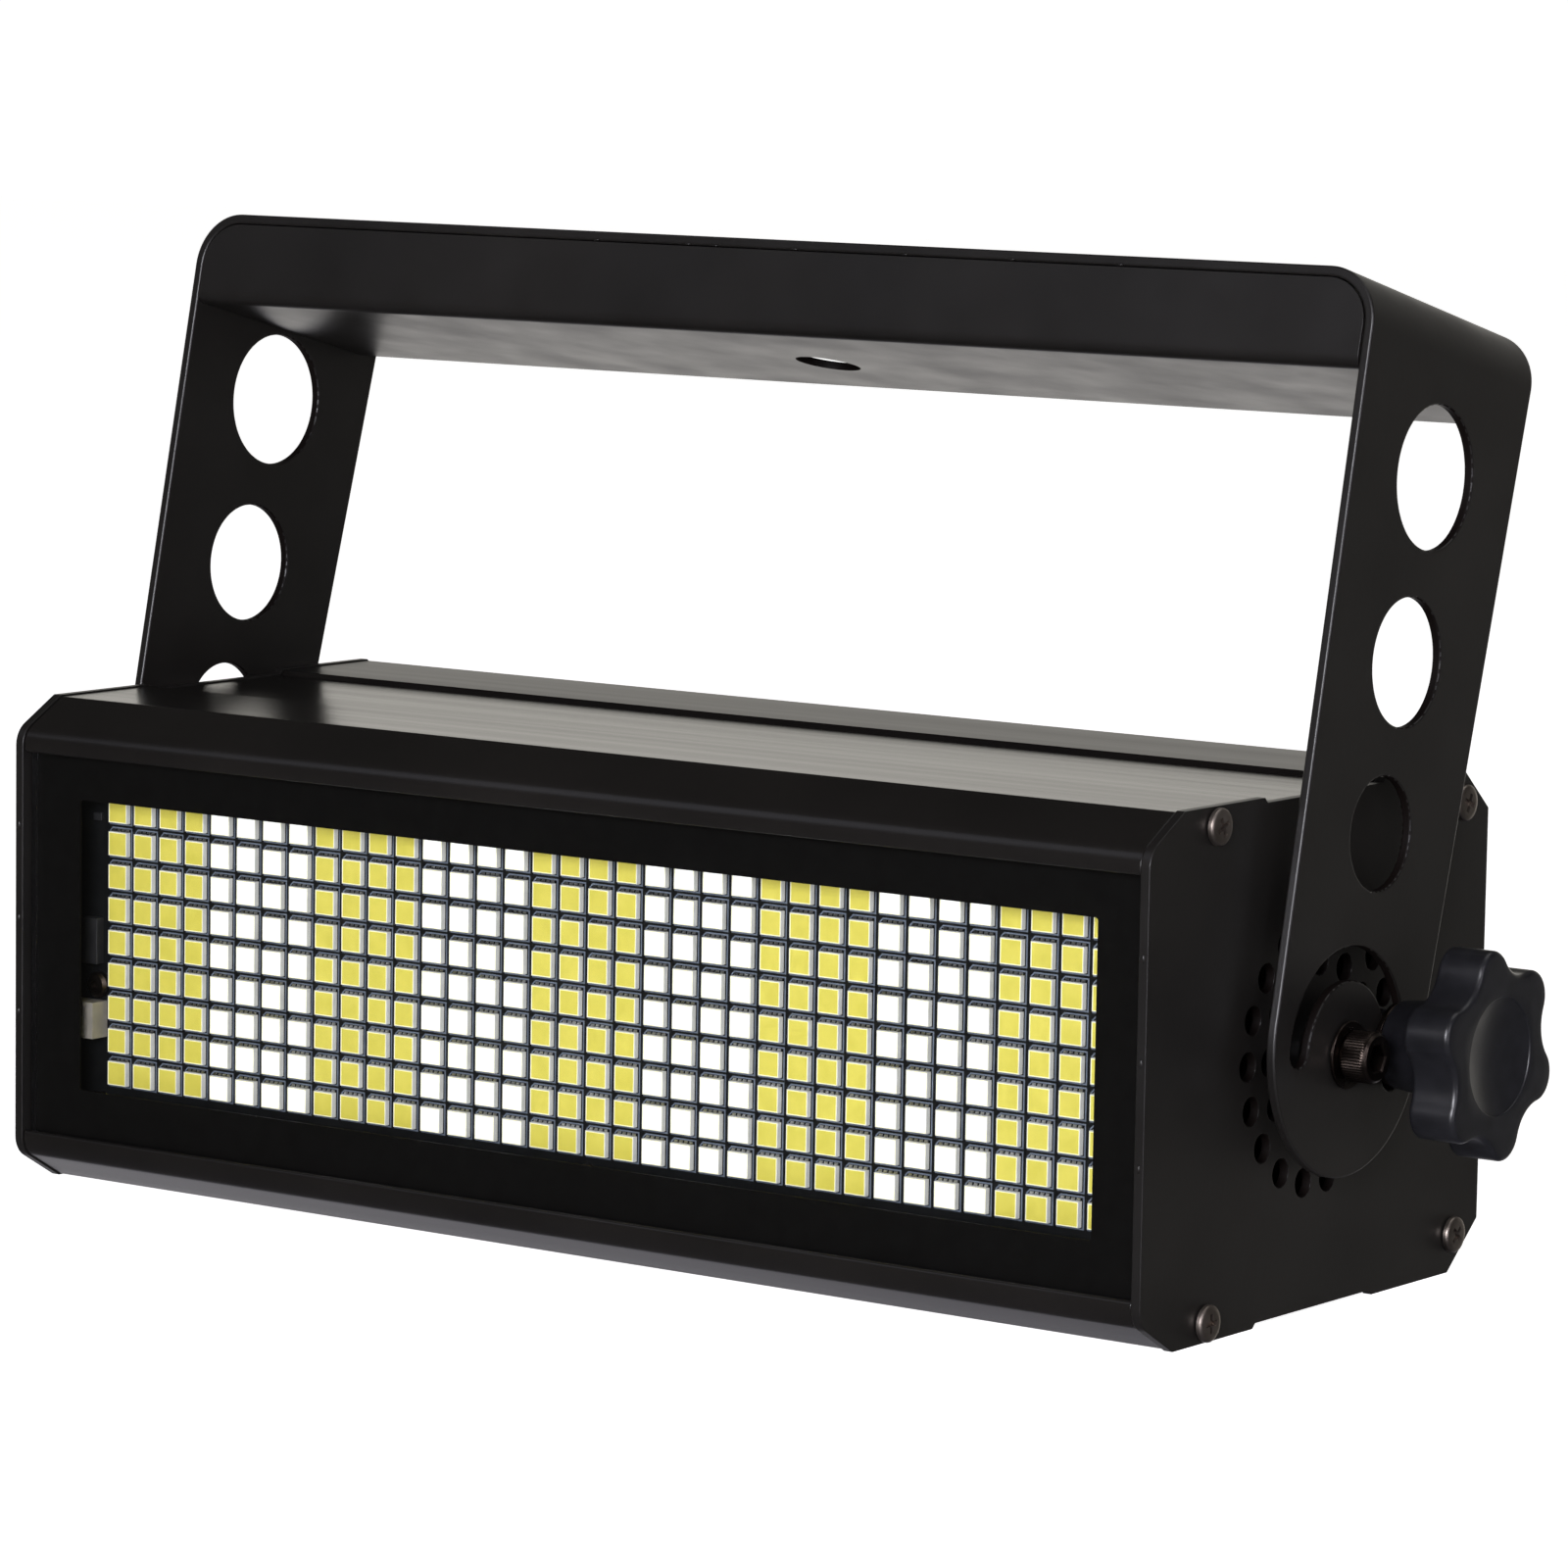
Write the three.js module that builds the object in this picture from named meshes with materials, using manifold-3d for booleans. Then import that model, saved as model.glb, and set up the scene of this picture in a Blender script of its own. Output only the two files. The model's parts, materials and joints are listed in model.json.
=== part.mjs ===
// Strobe light: an extruded aluminium housing behind a window of light diodes, closed by two
// end plates, and carried by a forked yoke that two star knobs clamp.
// Millimetres, +Z up, the window faces -Y. Inside the groups below, the origin is the tilt axis,
// midway between the end plates; the finished unit stands with its footprint's centre at zero.
import * as THREE from 'three';
import { mergeGeometries, mergeVertices } from 'three/addons/utils/BufferGeometryUtils.js';
import Module from 'manifold-3d';

const wasm = await Module();
wasm.setup();

// Fits and cutter sizes
const seatGap = 0.2;
const runningGap = 0.2;
const cutOverrun = 1;
const cornerSteps = 2;
const fullTurn = 2 * Math.PI;

// Housing envelope, measured from the tilt axis to the edges of the end plates
const housingWidth = 280;
const housingHeight = 101.5;
const frontReach = 60.75;
const rearReach = 62.25;
const plateThickness = 2;
const plateOverhang = 0.3;
const frontChamferDepth = 11.6;
const frontChamferDrop = 6.7;
const frontCornerRadius = 5.2;
const frontCornerSteps = 4;
const rearChamferDepth = 11.2;
const rearChamferDrop = 9.6;
const bandStep = 1;
const bandFrontReach = 20.25;
const bandRearReach = 21.25;

// Extruded profile
const profileWall = 1.9;
const lipHeight = 11.1;
const ribThickness = 1.6;
const rearRebateDrop = 13.35;
const rearFlangeDrop = 21.25;
const portRadius = 3.2;
const portBore = 1.8;
const portSides = 8;

// Screws of the end plates, placed from the plates' edges
const frontScrewInset = 22.55;
const frontScrewDrop = 3.85;
const rearScrewInset = 10.2;
const rearScrewDrop = 7.65;
const screwHeadRadius = 3.6;
const screwHeadHeight = 1.4;
const screwSideShare = 0.5;
const screwFaceShare = 0.8;
const screwShankRadius = 1.55;
const screwLength = 11;
const screwClearance = 0.3;
const screwSides = 8;

// Ventilation rings round the tilt axis
const outerVentRing = 25.3;
const outerVentCount = 18;
const innerVentCount = 12;
const ventRadius = 2.8;
const ventSides = 8;

// Window, mask and diode board
const glassThickness = 1.8;
const glassLap = 1.15;
const maskThickness = 0.5;
const maskMargin = 0.3;
const maskCorner = 0.6;
const diodePitchX = 7;
const diodePitchZ = 6.9;
const diodeGroup = 4;
const fieldEndMargin = 14;
const fieldEdgeMargin = 8.5;
const diodeWidth = 5;
const diodeLength = 5;
const diodeHeight = 1.2;
const diodeDepth = 12;
const boardThickness = 1.6;
const boardEndGap = 2.3;
const boardLap = 0.35;
const diodeSink = 0.3;

// Heat sink behind the diode board
const sinkBase = 3;
const sinkGap = 1.55;
const finCount = 9;
const finDepth = 14;
const finThickness = 1.6;
const finSpan = 76;

// Header on the diode board that the supply lead plugs into
const headerWidth = 7;
const headerHeight = 7.6;
const headerDepth = 4.6;
const headerWall = 0.7;
const headerPinRadius = 0.35;
const headerPinCount = 4;
const headerPinSides = 6;
const headerDrop = 16.4;

// Yoke
const yokeLean = 14 * Math.PI / 180;
const yokeSheet = 2;
const yokeRise = 146.3;
const yokeHalfWidth = 31.75;
const yokeEndRadius = 28.25;
const yokeBendRadius = 11;
const bendSteps = 4;
const yokeEndSteps = 18;
const armHoles = [
  { riseShare: 0.7655, radius: 14, sides: 24 },
  { riseShare: 0.5195, radius: 12.5, sides: 22 },
  { riseShare: 0.2919, radius: 11, sides: 20 },
];
const clampHoleRadius = 6.25;
const clampHoleSides = 14;
const accessHoleRadius = 9.75;
const accessHoleSides = 18;

// Channel welded inside the yoke's top
const channelSheet = 1.6;
const channelDrop = 19.2;
const channelSetback = 0.5;
const channelDepth = 57;
const channelBendRadius = 2.6;
const channelBendSteps = 4;

// Tilt pivot and clamp stud
const studOrbit = 17.5;
const studRadius = 2.9;
const studSides = 12;
const slotWidth = 6.5;
const slotSteps = 18;
const slotEndSteps = 4;
const slotFrontOverrun = 5 * Math.PI / 180;
const slotRearOverrun = 5 * Math.PI / 180;
const pivotBoltRadius = 2.9;
const pivotHoleClearance = 0.4;
const pivotHeadRadius = 5;
const pivotHeadHeight = 5.9;
const pivotHeadEdge = 0.5;
const pivotSocketRadius = 2.9;
const pivotSocketDepth = 3;
const pivotSocketSides = 6;
const pivotWasherRadius = 6.6;
const pivotWasherThickness = 0.6;
const spacerRadius = 7;
const spacerLength = 4;
const bushRadius = 6.5;
const nutRadius = 5.7;
const nutHeight = 5;
const nutSides = 6;
const roundSides = 16;

// Star knob
const knobRadius = 20.9;
const knobLobes = 6;
const lobeRadius = 5.2;
const valleyOrbit = 26;
const knobHeadHeight = 10;
const knobEdge = 1.1;
const knobEdgeSteps = 1;
const knobArcSteps = 3;
const knobHubHeight = 11.9;
const hubHeadRadius = 9.8;
const hubFootRadius = 8.6;
const dimpleRadius = 11.2;
const dimpleDepth = 3.8;
const dimpleSteps = 3;
const knobTurn = 40 * Math.PI / 180;
const knobBoreDepth = 13;
const knobBoreClearance = 0.25;
const knobWasherRadius = 8.2;
const knobWasherThickness = 1.2;
const studInnerReach = 8;

// Rear panel
const panelThickness = 2;
const panelScrewInset = 7.5;
const panelScrewDrop = 4.2;

// Menu: display and push buttons, placed from the middle of the rear panel
const menuInset = 54;
const displayRise = 13;
const displayWidth = 46;
const displayHeight = 18;
const displayCorner = 1;
const displayLensThickness = 1.4;
const displayModuleMargin = 2;
const displayModuleGap = 1;
const buttonDrop = 12;
const buttonPitch = 13;
const buttonCount = 4;
const buttonRadius = 3;
const buttonClearance = 0.35;
const buttonProud = 1.6;
const buttonFlangeRadius = 4;
const buttonFlangeThickness = 1.2;
const buttonTravel = 0.8;
const buttonSides = 10;
const switchSize = 6;
const switchHeight = 3.6;
const controlBoardWidth = 84;
const controlBoardMargin = 9.2;
const standoffRadius = 2.6;
const standoffSides = 6;

// Signal sockets on the rear panel
const signalInX = 2;
const signalOutX = 38;
const flangeWidth = 27;
const flangeHeight = 31;
const flangeThickness = 1.8;
const flangeCorner = 3;
const socketBodyRadius = 12.4;
const socketBodyDepth = 19;
const socketCavityRadius = 8;
const socketCavityDepth = 12;
const contactOrbit = 3.9;
const contactRadius = 1.2;
const contactLength = 9.5;
const contactHoleRadius = 1.6;
const contactHoleDepth = 8;
const contactSides = 6;
const contactCount = 3;
const socketKeyWidth = 3.2;
const socketKeyDepth = 1.6;
const socketRingInner = 7.2;
const socketRingOuter = 8.6;
const socketRingDepth = 5;
const latchWidth = 6;
const latchHeight = 2.6;
const latchRise = 9.7;
const latchDepth = 4;
const latchProud = 1.2;
const latchTravel = 1.5;
const latchClearance = 0.3;

// Power inlet with its fuse drawer
const inletInset = 44;
const inletWidth = 31;
const inletHeight = 48;
const inletCorner = 3;
const inletOpeningCorner = 0.1;
const inletBodyWidth = 27;
const inletBodyHeight = 42;
const inletBodyDepth = 24;
const inletCavityWidth = 24;
const inletCavityHeight = 16.5;
const inletCavityRise = 8.5;
const inletCavityCorner = 4;
const inletCavityDepth = 16;
const bladeThickness = 2;
const bladeWidth = 4;
const bladeLength = 13;
const bladeSpread = 7;
const bladeEarthRise = 3.4;
const bladeLineDrop = 2.2;
const drawerWidth = 21;
const drawerHeight = 9;
const drawerDrop = 12.5;
const drawerDepth = 17;
const drawerLipWidth = 24;
const drawerLipHeight = 11;
const drawerLipThickness = 1.6;
const drawerClearance = 0.3;

// Supply and driver boards on the housing's floor
const supplyWidthShare = 0.536;
const supplyDepth = 62;
const supplyInset = 13;
const supplyY = 12;
const driverWidthShare = 0.329;
const driverDepth = 58;
const driverInset = 14;
const driverY = 9;
const floorStandoff = 6;
const transformer = { width: 38, depth: 34, height: 28 };
const capacitorRadius = 9;
const capacitorHeight = 26;
const capacitorSides = 10;
const capacitorCount = 3;
const capacitorPitch = 22;
const capacitorInset = 21;
const coolerBar = { width: 70, depth: 6, height: 24 };
const terminalBlock = { width: 34, depth: 10, height: 12 };
const terminalInset = 12;
const driverCoil = { width: 14, depth: 14, height: 9 };
const coilCount = 4;
const componentMargin = 4;

// Sizes that follow from the ones above
const halfHeight = housingHeight / 2;
const halfWidth = housingWidth / 2;
const yokeHalfSpan = halfWidth + spacerLength + 2 * seatGap + yokeSheet;
const plateInner = halfWidth - plateThickness;
const profileHalfLength = plateInner - seatGap;
const profileLength = 2 * profileHalfLength;
const skinTop = halfHeight - plateOverhang;
const skinInner = skinTop - profileWall;
const lipEdge = halfHeight - lipHeight;
const rearRebateHeight = halfHeight - rearRebateDrop;
const rearFlangeHeight = halfHeight - rearFlangeDrop;
const frontScrewReach = frontReach - frontScrewInset;
const frontScrewRise = halfHeight - frontScrewDrop;
const rearScrewReach = rearReach - rearScrewInset;
const rearScrewRise = halfHeight - rearScrewDrop;
const glassHeight = 2 * (lipEdge + glassLap);
const glassFront = -frontReach + plateOverhang + profileWall + seatGap;
const glassBack = glassFront + glassThickness;
const maskFront = glassBack + seatGap;
const maskBack = maskFront + maskThickness;
const diodeGroups = Math.floor((halfWidth - fieldEndMargin) * 2 / (diodeGroup * diodePitchX));
const diodeColumns = diodeGroups * diodeGroup;
const diodeRows = Math.floor((lipEdge - fieldEdgeMargin) * 2 / diodePitchZ);
const windowWidth = diodeColumns * diodePitchX;
const windowHeight = (diodeRows - 1) * diodePitchZ + diodeLength + 2 * maskMargin;
const diodeTop = -frontReach + diodeDepth;
const boardFront = diodeTop + diodeHeight;
const boardBack = boardFront + boardThickness;
const boardWidth = 2 * (profileHalfLength - boardEndGap);
const boardHeight = 2 * (lipEdge + boardLap);
const sinkHeight = 2 * (skinInner - sinkGap);
const sinkFront = boardBack + seatGap;
const sinkBack = sinkFront + sinkBase;
const panelOuter = rearReach - plateOverhang;
const panelInner = panelOuter - panelThickness;
const panelHeight = 2 * (rearRebateHeight - seatGap);
const panelScrewRise = rearRebateHeight - panelScrewDrop;
const menuX = menuInset - halfWidth;
const controlBoardHeight = panelHeight - 2 * controlBoardMargin;
const supplyWidth = supplyWidthShare * housingWidth;
const supplyX = supplyInset + supplyWidth / 2 - halfWidth;
const driverWidth = driverWidthShare * housingWidth;
const driverX = halfWidth - driverInset - driverWidth / 2;
const inletX = halfWidth - inletInset;
const armInner = yokeHalfSpan - yokeSheet;
const clampFace = yokeHalfSpan + runningGap;
const boltSeat = clampFace + pivotWasherThickness + seatGap;
const knobFoot = clampFace + knobWasherThickness + seatGap;
const yokeRearReach = yokeRise * Math.sin(yokeLean) + yokeHalfWidth * Math.cos(yokeLean);
const footprintShift = (yokeRearReach - frontReach) / 2;

// Finishes
function finish(color, roughness, metalness) {
  return new THREE.MeshStandardMaterial({ color, roughness, metalness });
}
const blackSatin = finish(0x1c1b1a, 0.42, 0.4);
const blackPlate = finish(0x1f1e1d, 0.5, 0.4);
const clearGlass = finish(0xdfe6e8, 0.05, 0);
clearGlass.transparent = true;
clearGlass.opacity = 0.3;
const blackCard = finish(0x0b0b0b, 0.8, 0);
const diodeFace = finish(0xd8cf52, 0.5, 0);
const bareAluminium = finish(0xb4b6b8, 0.4, 0.9);
const whitePlastic = finish(0xe8e6de, 0.5, 0);
const greenBoard = finish(0x1f5a35, 0.6, 0);
const zincSteel = finish(0x8d8780, 0.3, 0.95);
const bronzeSteel = finish(0x6b5d50, 0.3, 0.95);
const blackPlastic = finish(0x17181c, 0.45, 0);
const smokedLens = finish(0x101418, 0.1, 0);
const nickel = finish(0xa9a7a2, 0.25, 0.95);

// Turns a closed three.js geometry into a solid that can be joined and cut.
function solid(geometry) {
  const bare = geometry.clone();
  bare.deleteAttribute('normal');
  bare.deleteAttribute('uv');
  const welded = mergeVertices(bare);
  const corners = [];
  for (let at = 0; at < welded.index.count; at += 3) {
    const triangle = [welded.index.getX(at), welded.index.getX(at + 1), welded.index.getX(at + 2)];
    if (new Set(triangle).size === triangle.length) corners.push(...triangle);
  }
  const mesh = new wasm.Mesh({
    numProp: 3,
    vertProperties: new Float32Array(welded.attributes.position.array),
    triVerts: new Uint32Array(corners),
  });
  return new wasm.Manifold(mesh);
}

// Turns a solid back into a geometry with flat faces.
function geometryOf(manifold) {
  const mesh = manifold.getMesh();
  const geometry = new THREE.BufferGeometry();
  geometry.setAttribute('position', new THREE.BufferAttribute(mesh.vertProperties, 3));
  geometry.setIndex(new THREE.BufferAttribute(mesh.triVerts, 1));
  const flat = geometry.toNonIndexed();
  flat.computeVertexNormals();
  return flat;
}

function joined(parts) {
  return parts.map(solid).reduce((whole, part) => whole.add(part));
}

function cut(whole, cutters) {
  return cutters.map(solid).reduce((left, cutter) => left.subtract(cutter), whole);
}

// A shape drawn in Y and Z, swept along X.
function alongX(shape, from, to) {
  const geometry = new THREE.ExtrudeGeometry(shape, { depth: to - from, bevelEnabled: false });
  const turn = new THREE.Matrix4().makeBasis(
    new THREE.Vector3(0, 1, 0), new THREE.Vector3(0, 0, 1), new THREE.Vector3(1, 0, 0));
  return geometry.applyMatrix4(turn).translate(from, 0, 0);
}

// A shape drawn in X and Z, swept along Y.
function alongY(shape, from, to) {
  const geometry = new THREE.ExtrudeGeometry(shape, { depth: to - from, bevelEnabled: false });
  return geometry.rotateX(Math.PI / 2).translate(0, to, 0);
}

// A profile of (radius, distance) points revolved about the X axis.
function turnedX(profile, sides) {
  const points = profile.map(([radius, along]) => new THREE.Vector2(radius, along));
  return new THREE.LatheGeometry(points, sides).rotateZ(-Math.PI / 2);
}

// A profile of (radius, distance) points revolved about the Y axis.
function turnedY(profile, sides) {
  const points = profile.map(([radius, along]) => new THREE.Vector2(radius, along));
  return new THREE.LatheGeometry(points, sides);
}

function rodX(radius, from, to, sides) {
  return turnedX([[0, from], [radius, from], [radius, to], [0, to]], sides);
}

function rodY(radius, from, to, sides) {
  return turnedY([[0, from], [radius, from], [radius, to], [0, to]], sides);
}

function rodZ(radius, from, to, sides) {
  return rodY(radius, from, to, sides).rotateX(Math.PI / 2);
}

function tubeX(inner, outer, from, to, sides) {
  return turnedX([[inner, from], [outer, from], [outer, to], [inner, to], [inner, from]], sides);
}

function tubeY(inner, outer, from, to, sides) {
  return turnedY([[inner, from], [outer, from], [outer, to], [inner, to], [inner, from]], sides);
}

// A box given by its limits along each axis.
function block([x0, x1], [y0, y1], [z0, z1]) {
  const box = new THREE.BoxGeometry(x1 - x0, y1 - y0, z1 - z0);
  return box.translate((x0 + x1) / 2, (y0 + y1) / 2, (z0 + z1) / 2);
}

function centred(middle, size) {
  return [middle - size / 2, middle + size / 2];
}

function shapeOf(points) {
  return new THREE.Shape(points.map(([a, b]) => new THREE.Vector2(a, b)));
}

// A rectangle with round corners, centred on a place.
function roundedRectangle(width, height, corner, steps) {
  const points = [];
  const centres = [[1, 1], [-1, 1], [-1, -1], [1, -1]];
  centres.forEach(([sideA, sideB], quarter) => {
    for (let step = 0; step <= steps; step += 1) {
      const angle = (quarter + step / steps) * Math.PI / 2;
      const a = sideA * (width / 2 - corner) + corner * Math.cos(angle);
      const b = sideB * (height / 2 - corner) + corner * Math.sin(angle);
      points.push([a, b]);
    }
  });
  return points;
}

// Rounds one corner of a path, given the points before and after it.
function filleted(before, corner, after, radius, steps) {
  const toBefore = new THREE.Vector2(before[0] - corner[0], before[1] - corner[1]).normalize();
  const toAfter = new THREE.Vector2(after[0] - corner[0], after[1] - corner[1]).normalize();
  const half = Math.acos(toBefore.dot(toAfter)) / 2;
  const middle = toBefore.clone().add(toAfter).normalize().multiplyScalar(radius / Math.sin(half));
  const centre = new THREE.Vector2(corner[0], corner[1]).add(middle);
  const start = toBefore.multiplyScalar(radius / Math.tan(half)).sub(middle);
  const end = toAfter.multiplyScalar(radius / Math.tan(half)).sub(middle);
  const sweep = Math.atan2(start.cross(end), start.dot(end));
  const points = [];
  for (let step = 0; step <= steps; step += 1) {
    const spoke = start.clone().rotateAround(new THREE.Vector2(), sweep * step / steps);
    points.push([centre.x + spoke.x, centre.y + spoke.y]);
  }
  return points;
}

// Moves an open path sideways, to the right of its direction, with mitred corners.
function offsetPath(path, distance) {
  const normals = path.slice(1).map(([a, b], index) => {
    const along = new THREE.Vector2(a - path[index][0], b - path[index][1]).normalize();
    return new THREE.Vector2(along.y, -along.x);
  });
  return path.map(([a, b], index) => {
    const before = normals[Math.max(index - 1, 0)];
    const after = normals[Math.min(index, normals.length - 1)];
    const bisector = before.clone().add(after);
    bisector.multiplyScalar(distance / (1 + before.dot(after)));
    return [a + bisector.x, b + bisector.y];
  });
}

// Outline of the housing's upper half, from the window's lip over the top to the rear.
function upperOutline(startRise, endRise) {
  const frontCorner = [-frontReach, halfHeight - frontChamferDrop];
  const chamferTop = [-frontReach + frontChamferDepth, halfHeight];
  const start = [-frontReach, startRise];
  return [
    start,
    ...filleted(start, frontCorner, chamferTop, frontCornerRadius, frontCornerSteps),
    chamferTop,
    [-bandFrontReach - bandStep, halfHeight],
    [-bandFrontReach, halfHeight - bandStep],
    [bandRearReach, halfHeight - bandStep],
    [bandRearReach + bandStep, halfHeight],
    [rearReach - rearChamferDepth, halfHeight],
    [rearReach, halfHeight - rearChamferDrop],
    [rearReach, endRise],
  ];
}

// Outer height of the extruded skin at a depth in front of the band.
function skinHeight(depth) {
  const ahead = Math.max(frontChamferDepth - frontReach - depth, 0);
  return skinTop - ahead * frontChamferDrop / frontChamferDepth;
}

const screwPlaces = [
  { reach: -frontScrewReach, rise: frontScrewRise },
  { reach: -frontScrewReach, rise: -frontScrewRise },
  { reach: rearScrewReach, rise: rearScrewRise },
  { reach: rearScrewReach, rise: -rearScrewRise },
];

// One extruded half of the housing; the lower half is the same piece turned over.
function makeProfile() {
  const rebate = panelThickness + seatGap;
  const path = [
    ...upperOutline(lipEdge + profileWall / 2, rearRebateHeight),
    [rearReach - rebate, rearRebateHeight],
    [rearReach - rebate, rearFlangeHeight],
  ];
  const outer = offsetPath(path, plateOverhang);
  const inner = offsetPath(path, plateOverhang + profileWall);
  const skin = alongX(shapeOf([...outer, ...inner.reverse()]), -profileHalfLength, profileHalfLength);
  const nose = rodX(profileWall / 2, -profileHalfLength, profileHalfLength, portSides);
  nose.translate(0, -frontReach + plateOverhang + profileWall / 2, lipEdge + profileWall / 2);
  const lengthwise = [-profileHalfLength, profileHalfLength];
  const rib = (start, foot) => block(
    lengthwise, [start, start + ribThickness], [foot, skinHeight(start) - profileWall / 2]);
  const ribs = [
    rib(maskBack + seatGap, lipEdge),
    rib(sinkFront - seatGap - ribThickness, boardHeight / 2 + profileWall),
    rib(sinkBack + seatGap, boardHeight / 2 + profileWall),
  ];
  const ports = screwPlaces.filter(({ rise }) => rise > 0);
  const place = (geometry, { reach, rise }) => geometry.translate(0, reach, rise);
  const bosses = ports.map((port) => place(rodX(portRadius, ...lengthwise, portSides), port));
  const reachOut = profileHalfLength + cutOverrun;
  const bores = ports.map((port) => place(rodX(portBore, -reachOut, reachOut, portSides), port));
  const panelBores = [-1, 1].map((side) => {
    const bore = rodY(portBore, panelInner - 2 * panelThickness - profileWall, rearReach, portSides);
    return bore.translate(side * (profileHalfLength - panelScrewInset), 0, panelScrewRise);
  });
  return geometryOf(cut(joined([skin, nose, ...ribs, ...bosses]), [...bores, ...panelBores]));
}

// Cutters for a ring of vents round the tilt axis, as long as an end plate is thick.
function ventRing(orbit, count, first) {
  return Array.from({ length: count - first }, (_, index) => {
    const angle = fullTurn * (index + first) / count;
    const vent = rodX(ventRadius, -cutOverrun, plateThickness + cutOverrun, ventSides);
    return vent.translate(0, orbit * Math.cos(angle), orbit * Math.sin(angle));
  });
}

// End plate with its vent rings, screw holes, pivot hole and stud hole.
function makeEndPlate() {
  const upper = upperOutline(0, 0);
  const lower = upper.slice(1, -1).map(([a, b]) => [a, -b]).reverse();
  const blank = solid(alongX(shapeOf([...upper, ...lower]), 0, plateThickness));
  const bore = (radius, sides, reach, rise) => {
    return rodX(radius, -cutOverrun, plateThickness + cutOverrun, sides).translate(0, reach, rise);
  };
  const screwBores = screwPlaces.map(({ reach, rise }) => {
    return bore(screwShankRadius + screwClearance, screwSides, reach, rise);
  });
  return geometryOf(cut(blank, [
    ...screwBores,
    bore(pivotBoltRadius + pivotHoleClearance, roundSides, 0, 0),
    bore(studRadius + pivotHoleClearance, roundSides, studOrbit, 0),
    ...ventRing(outerVentRing, outerVentCount, 0),
    ...ventRing(studOrbit, innerVentCount, 1),
  ]));
}

// Pan-head screw along X, its head's seat at zero and its shank towards -X.
function makeScrew(length) {
  return turnedX([
    [0, -length],
    [screwShankRadius, -length],
    [screwShankRadius, 0],
    [screwHeadRadius, 0],
    [screwHeadRadius, screwHeadHeight * screwSideShare],
    [screwHeadRadius * screwFaceShare, screwHeadHeight],
    [0, screwHeadHeight],
  ], screwSides);
}

// Window pane behind the lips.
function makeGlass() {
  return block(centred(0, profileLength), [glassFront, glassBack], centred(0, glassHeight));
}

// Black mask behind the pane, its opening as large as the field of diodes.
function makeMask() {
  const sheet = block(centred(0, profileLength), [maskFront, maskBack], centred(0, glassHeight));
  const opening = shapeOf(roundedRectangle(windowWidth, windowHeight, maskCorner, cornerSteps));
  return geometryOf(cut(solid(sheet), [alongY(opening, maskFront - cutOverrun, maskBack + cutOverrun)]));
}

// Board with its rows of diodes standing on it.
function makeDiodeBoard() {
  const board = block(centred(0, boardWidth), [boardFront, boardBack], centred(0, boardHeight));
  const diodes = [];
  for (let row = 0; row < diodeRows; row += 1) {
    for (let column = 0; column < diodeColumns; column += 1) {
      const x = (column - (diodeColumns - 1) / 2) * diodePitchX;
      const z = (row - (diodeRows - 1) / 2) * diodePitchZ;
      const depth = [diodeTop, boardFront + diodeSink];
      diodes.push(block(centred(x, diodeWidth), depth, centred(z, diodeLength)));
    }
  }
  return geometryOf(solid(board).add(solid(mergeGeometries(diodes))));
}

// Finned plate that slides in the rails of both profiles.
function makeHeatSink() {
  const points = [[sinkFront, -sinkHeight / 2], [sinkBack, -sinkHeight / 2]];
  for (let fin = 0; fin < finCount; fin += 1) {
    const rise = (fin / (finCount - 1) - 1 / 2) * finSpan;
    points.push([sinkBack, rise - finThickness / 2]);
    points.push([sinkBack + finDepth, rise - finThickness / 2]);
    points.push([sinkBack + finDepth, rise + finThickness / 2]);
    points.push([sinkBack, rise + finThickness / 2]);
  }
  points.push([sinkBack, sinkHeight / 2], [sinkFront, sinkHeight / 2]);
  return alongX(shapeOf(points), -boardWidth / 2, boardWidth / 2);
}

// Open header with its pins, standing on the diode board.
function makeHeader() {
  const back = boardFront - seatGap;
  const front = back - headerDepth;
  const shell = block(centred(0, headerWidth), [front, back], centred(0, headerHeight));
  const hollow = block(
    [-headerWidth / 2 - cutOverrun, headerWidth / 2 - headerWall],
    [front + headerWall, back - headerWall],
    centred(0, headerHeight - 2 * headerWall));
  const pins = [];
  for (let pin = 0; pin < headerPinCount; pin += 1) {
    const rise = ((pin + 1 / 2) / headerPinCount - 1 / 2) * (headerHeight - 2 * headerWall);
    const rod = rodX(headerPinRadius, -headerWidth / 2, headerWidth / 2, headerPinSides);
    pins.push(rod.translate(0, (front + back) / 2, rise));
  }
  return geometryOf(joined([geometryOf(cut(solid(shell), [hollow])), ...pins]));
}

// Section of a folded sheet: a path and the same path moved inwards by the sheet.
function sheetSection(path, sheet) {
  return shapeOf([...path, ...offsetPath(path, sheet).reverse()]);
}

// Path of the yoke's fold, up one arm, across the top and down the other.
function yokeFold(halfSpan, rise, foot, bend) {
  const corners = [[-halfSpan, rise], [halfSpan, rise]];
  return [
    [-halfSpan, foot],
    ...filleted([-halfSpan, foot], corners[0], corners[1], bend, bendSteps),
    ...filleted(corners[0], corners[1], [halfSpan, foot], bend, bendSteps),
    [halfSpan, foot],
  ];
}

// Arm outline in depth and rise: a round foot whose tangents widen to the top.
function armOutline() {
  const topRise = yokeRise + cutOverrun;
  const slant = Math.asin(yokeEndRadius / Math.hypot(yokeHalfWidth, topRise));
  const lean = Math.atan2(yokeHalfWidth, topRise);
  const tangent = slant - lean;
  const points = [];
  for (let step = 0; step <= yokeEndSteps; step += 1) {
    const angle = Math.PI + tangent + (Math.PI - 2 * tangent) * step / yokeEndSteps;
    points.push([yokeEndRadius * Math.cos(angle), yokeEndRadius * Math.sin(angle)]);
  }
  points.push([yokeHalfWidth, topRise], [-yokeHalfWidth, topRise]);
  return points;
}

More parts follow.
